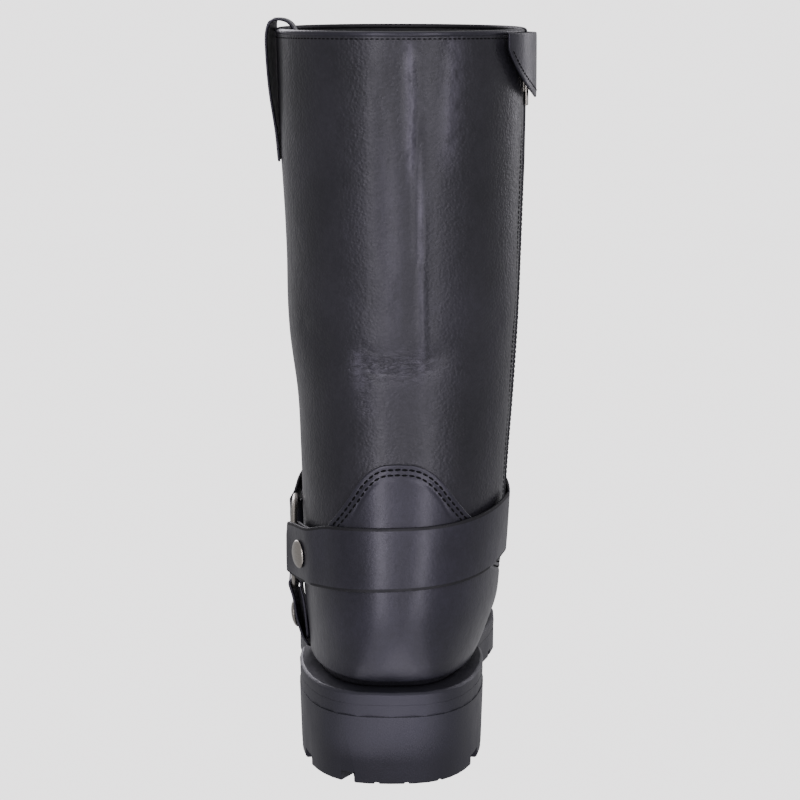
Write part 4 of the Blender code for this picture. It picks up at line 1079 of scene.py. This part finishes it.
# Softboxes: name, place, aim, width and height in metres, and watts
SOFTBOXES = (
    ("key_softbox", (-0.45, -2.2, 0.95), (0.0, 0.0, 0.25), (0.6, 1.8), 32.0),
    ("fill_softbox", (1.05, -1.95, 0.95), (0.0, 0.0, 0.25), (0.5, 1.8), 24.0),
    ("front_left_softbox", (-0.235, -1.00, 0.10), (0.0, 0.0, 6.0), (0.26, 1.1), 3.5),
    ("front_right_softbox", (0.46, -0.90, 0.10), (0.0, 0.0, 6.0), (0.24, 1.1), 3.2),
    ("near_left_softbox", (-0.055, -0.25, 0.02), (0.0, 0.0, 6.0), (0.11, 0.42), 0.23),
    ("near_right_softbox", (0.100, -0.24, 0.02), (0.0, 0.0, 6.0), (0.09, 0.40), 0.18),
    ("rim_softbox", (1.7, 1.5, 0.8), (0.0, 0.0, 0.2), (0.5, 1.6), 9.0),
    ("top_softbox", (0.0, 0.1, 2.3), (0.0, 0.05, 0.1), (2.0, 2.0), 10.0),
    ("toe_softbox", (-0.9, 2.0, 1.0), (0.0, 0.1, 0.15), (0.8, 1.4), 24.0),
)


def make_studio():
    """Pale glowing floor that only the camera sees, soft light and the photograph's camera."""
    camera_data = bpy.data.cameras.new("camera")
    camera_data.sensor_width = 36.0
    camera_data.lens = CAMERA_LENS
    camera = bpy.data.objects.new("camera", camera_data)
    camera.location = CAMERA_PLACE
    camera.rotation_euler = (math.radians(CAMERA_TILT), 0.0, 0.0)
    bpy.context.scene.collection.objects.link(camera)
    bpy.context.scene.camera = camera

    table, tree, shader, coords = new_material("lit_acrylic_table")
    haze = add(tree, "TexNoise", {"Vector": coords, "Scale": spaced(333.3), "Detail": 2.0})
    tint = add(tree, "Mix", {"Factor": haze.outputs["Fac"]}, data_type="RGBA")
    tint.inputs["A"].default_value = linear("#e4e2e3")
    tint.inputs["B"].default_value = linear("#e7e5e6")
    shader.inputs["Base Color"].default_value = linear("#000000")
    tree.links.new(tint.outputs["Result"], shader.inputs["Emission Color"])
    shader.inputs["Emission Strength"].default_value = FLOOR_GLOW
    shader.inputs["Roughness"].default_value = 0.9
    shader.inputs["Specular IOR Level"].default_value = 0.0
    floor_bm = bmesh.new()
    bmesh.ops.create_grid(floor_bm, x_segments=2, y_segments=2, size=FLOOR_REACH)
    border = [edge for edge in floor_bm.edges if edge.is_boundary]
    raised = bmesh.ops.extrude_edge_only(floor_bm, edges=border)["geom"]
    wall_top = [item for item in raised if isinstance(item, bmesh.types.BMVert)]
    bmesh.ops.translate(floor_bm, verts=wall_top, vec=(0.0, 0.0, FLOOR_WALL))
    floor_mesh = bpy.data.meshes.new("floor")
    floor_bm.to_mesh(floor_mesh)
    floor_bm.free()
    floor_mesh.materials.append(table)
    floor = bpy.data.objects.new("floor", floor_mesh)
    bpy.context.scene.collection.objects.link(floor)
    floor.visible_diffuse = False
    floor.visible_glossy = False
    floor.visible_shadow = False

    world = bpy.data.worlds.new("studio")
    world.use_nodes = True
    background = world.node_tree.nodes["Background"]
    background.inputs["Color"].default_value = linear("#e6e5e8")
    background.inputs["Strength"].default_value = WORLD_GLOW
    bpy.context.scene.world = world

    for name, place, aim, size, watts in SOFTBOXES:
        light_data = bpy.data.lights.new(name, "AREA")
        light_data.shape = "RECTANGLE"
        light_data.size = size[0]
        light_data.size_y = size[1]
        light_data.energy = watts
        light_data.color = LIGHT_TINT
        light = bpy.data.objects.new(name, light_data)
        light.location = place
        light.rotation_euler = (Vector(aim) - Vector(place)).to_track_quat("-Z", "Y").to_euler()
        light.visible_camera = False
        bpy.context.scene.collection.objects.link(light)


make_studio()
make_upper()
make_rim()
make_counter()
make_harness()
make_zip()
make_flap()
make_loop()
make_rim_seam()
make_sole()
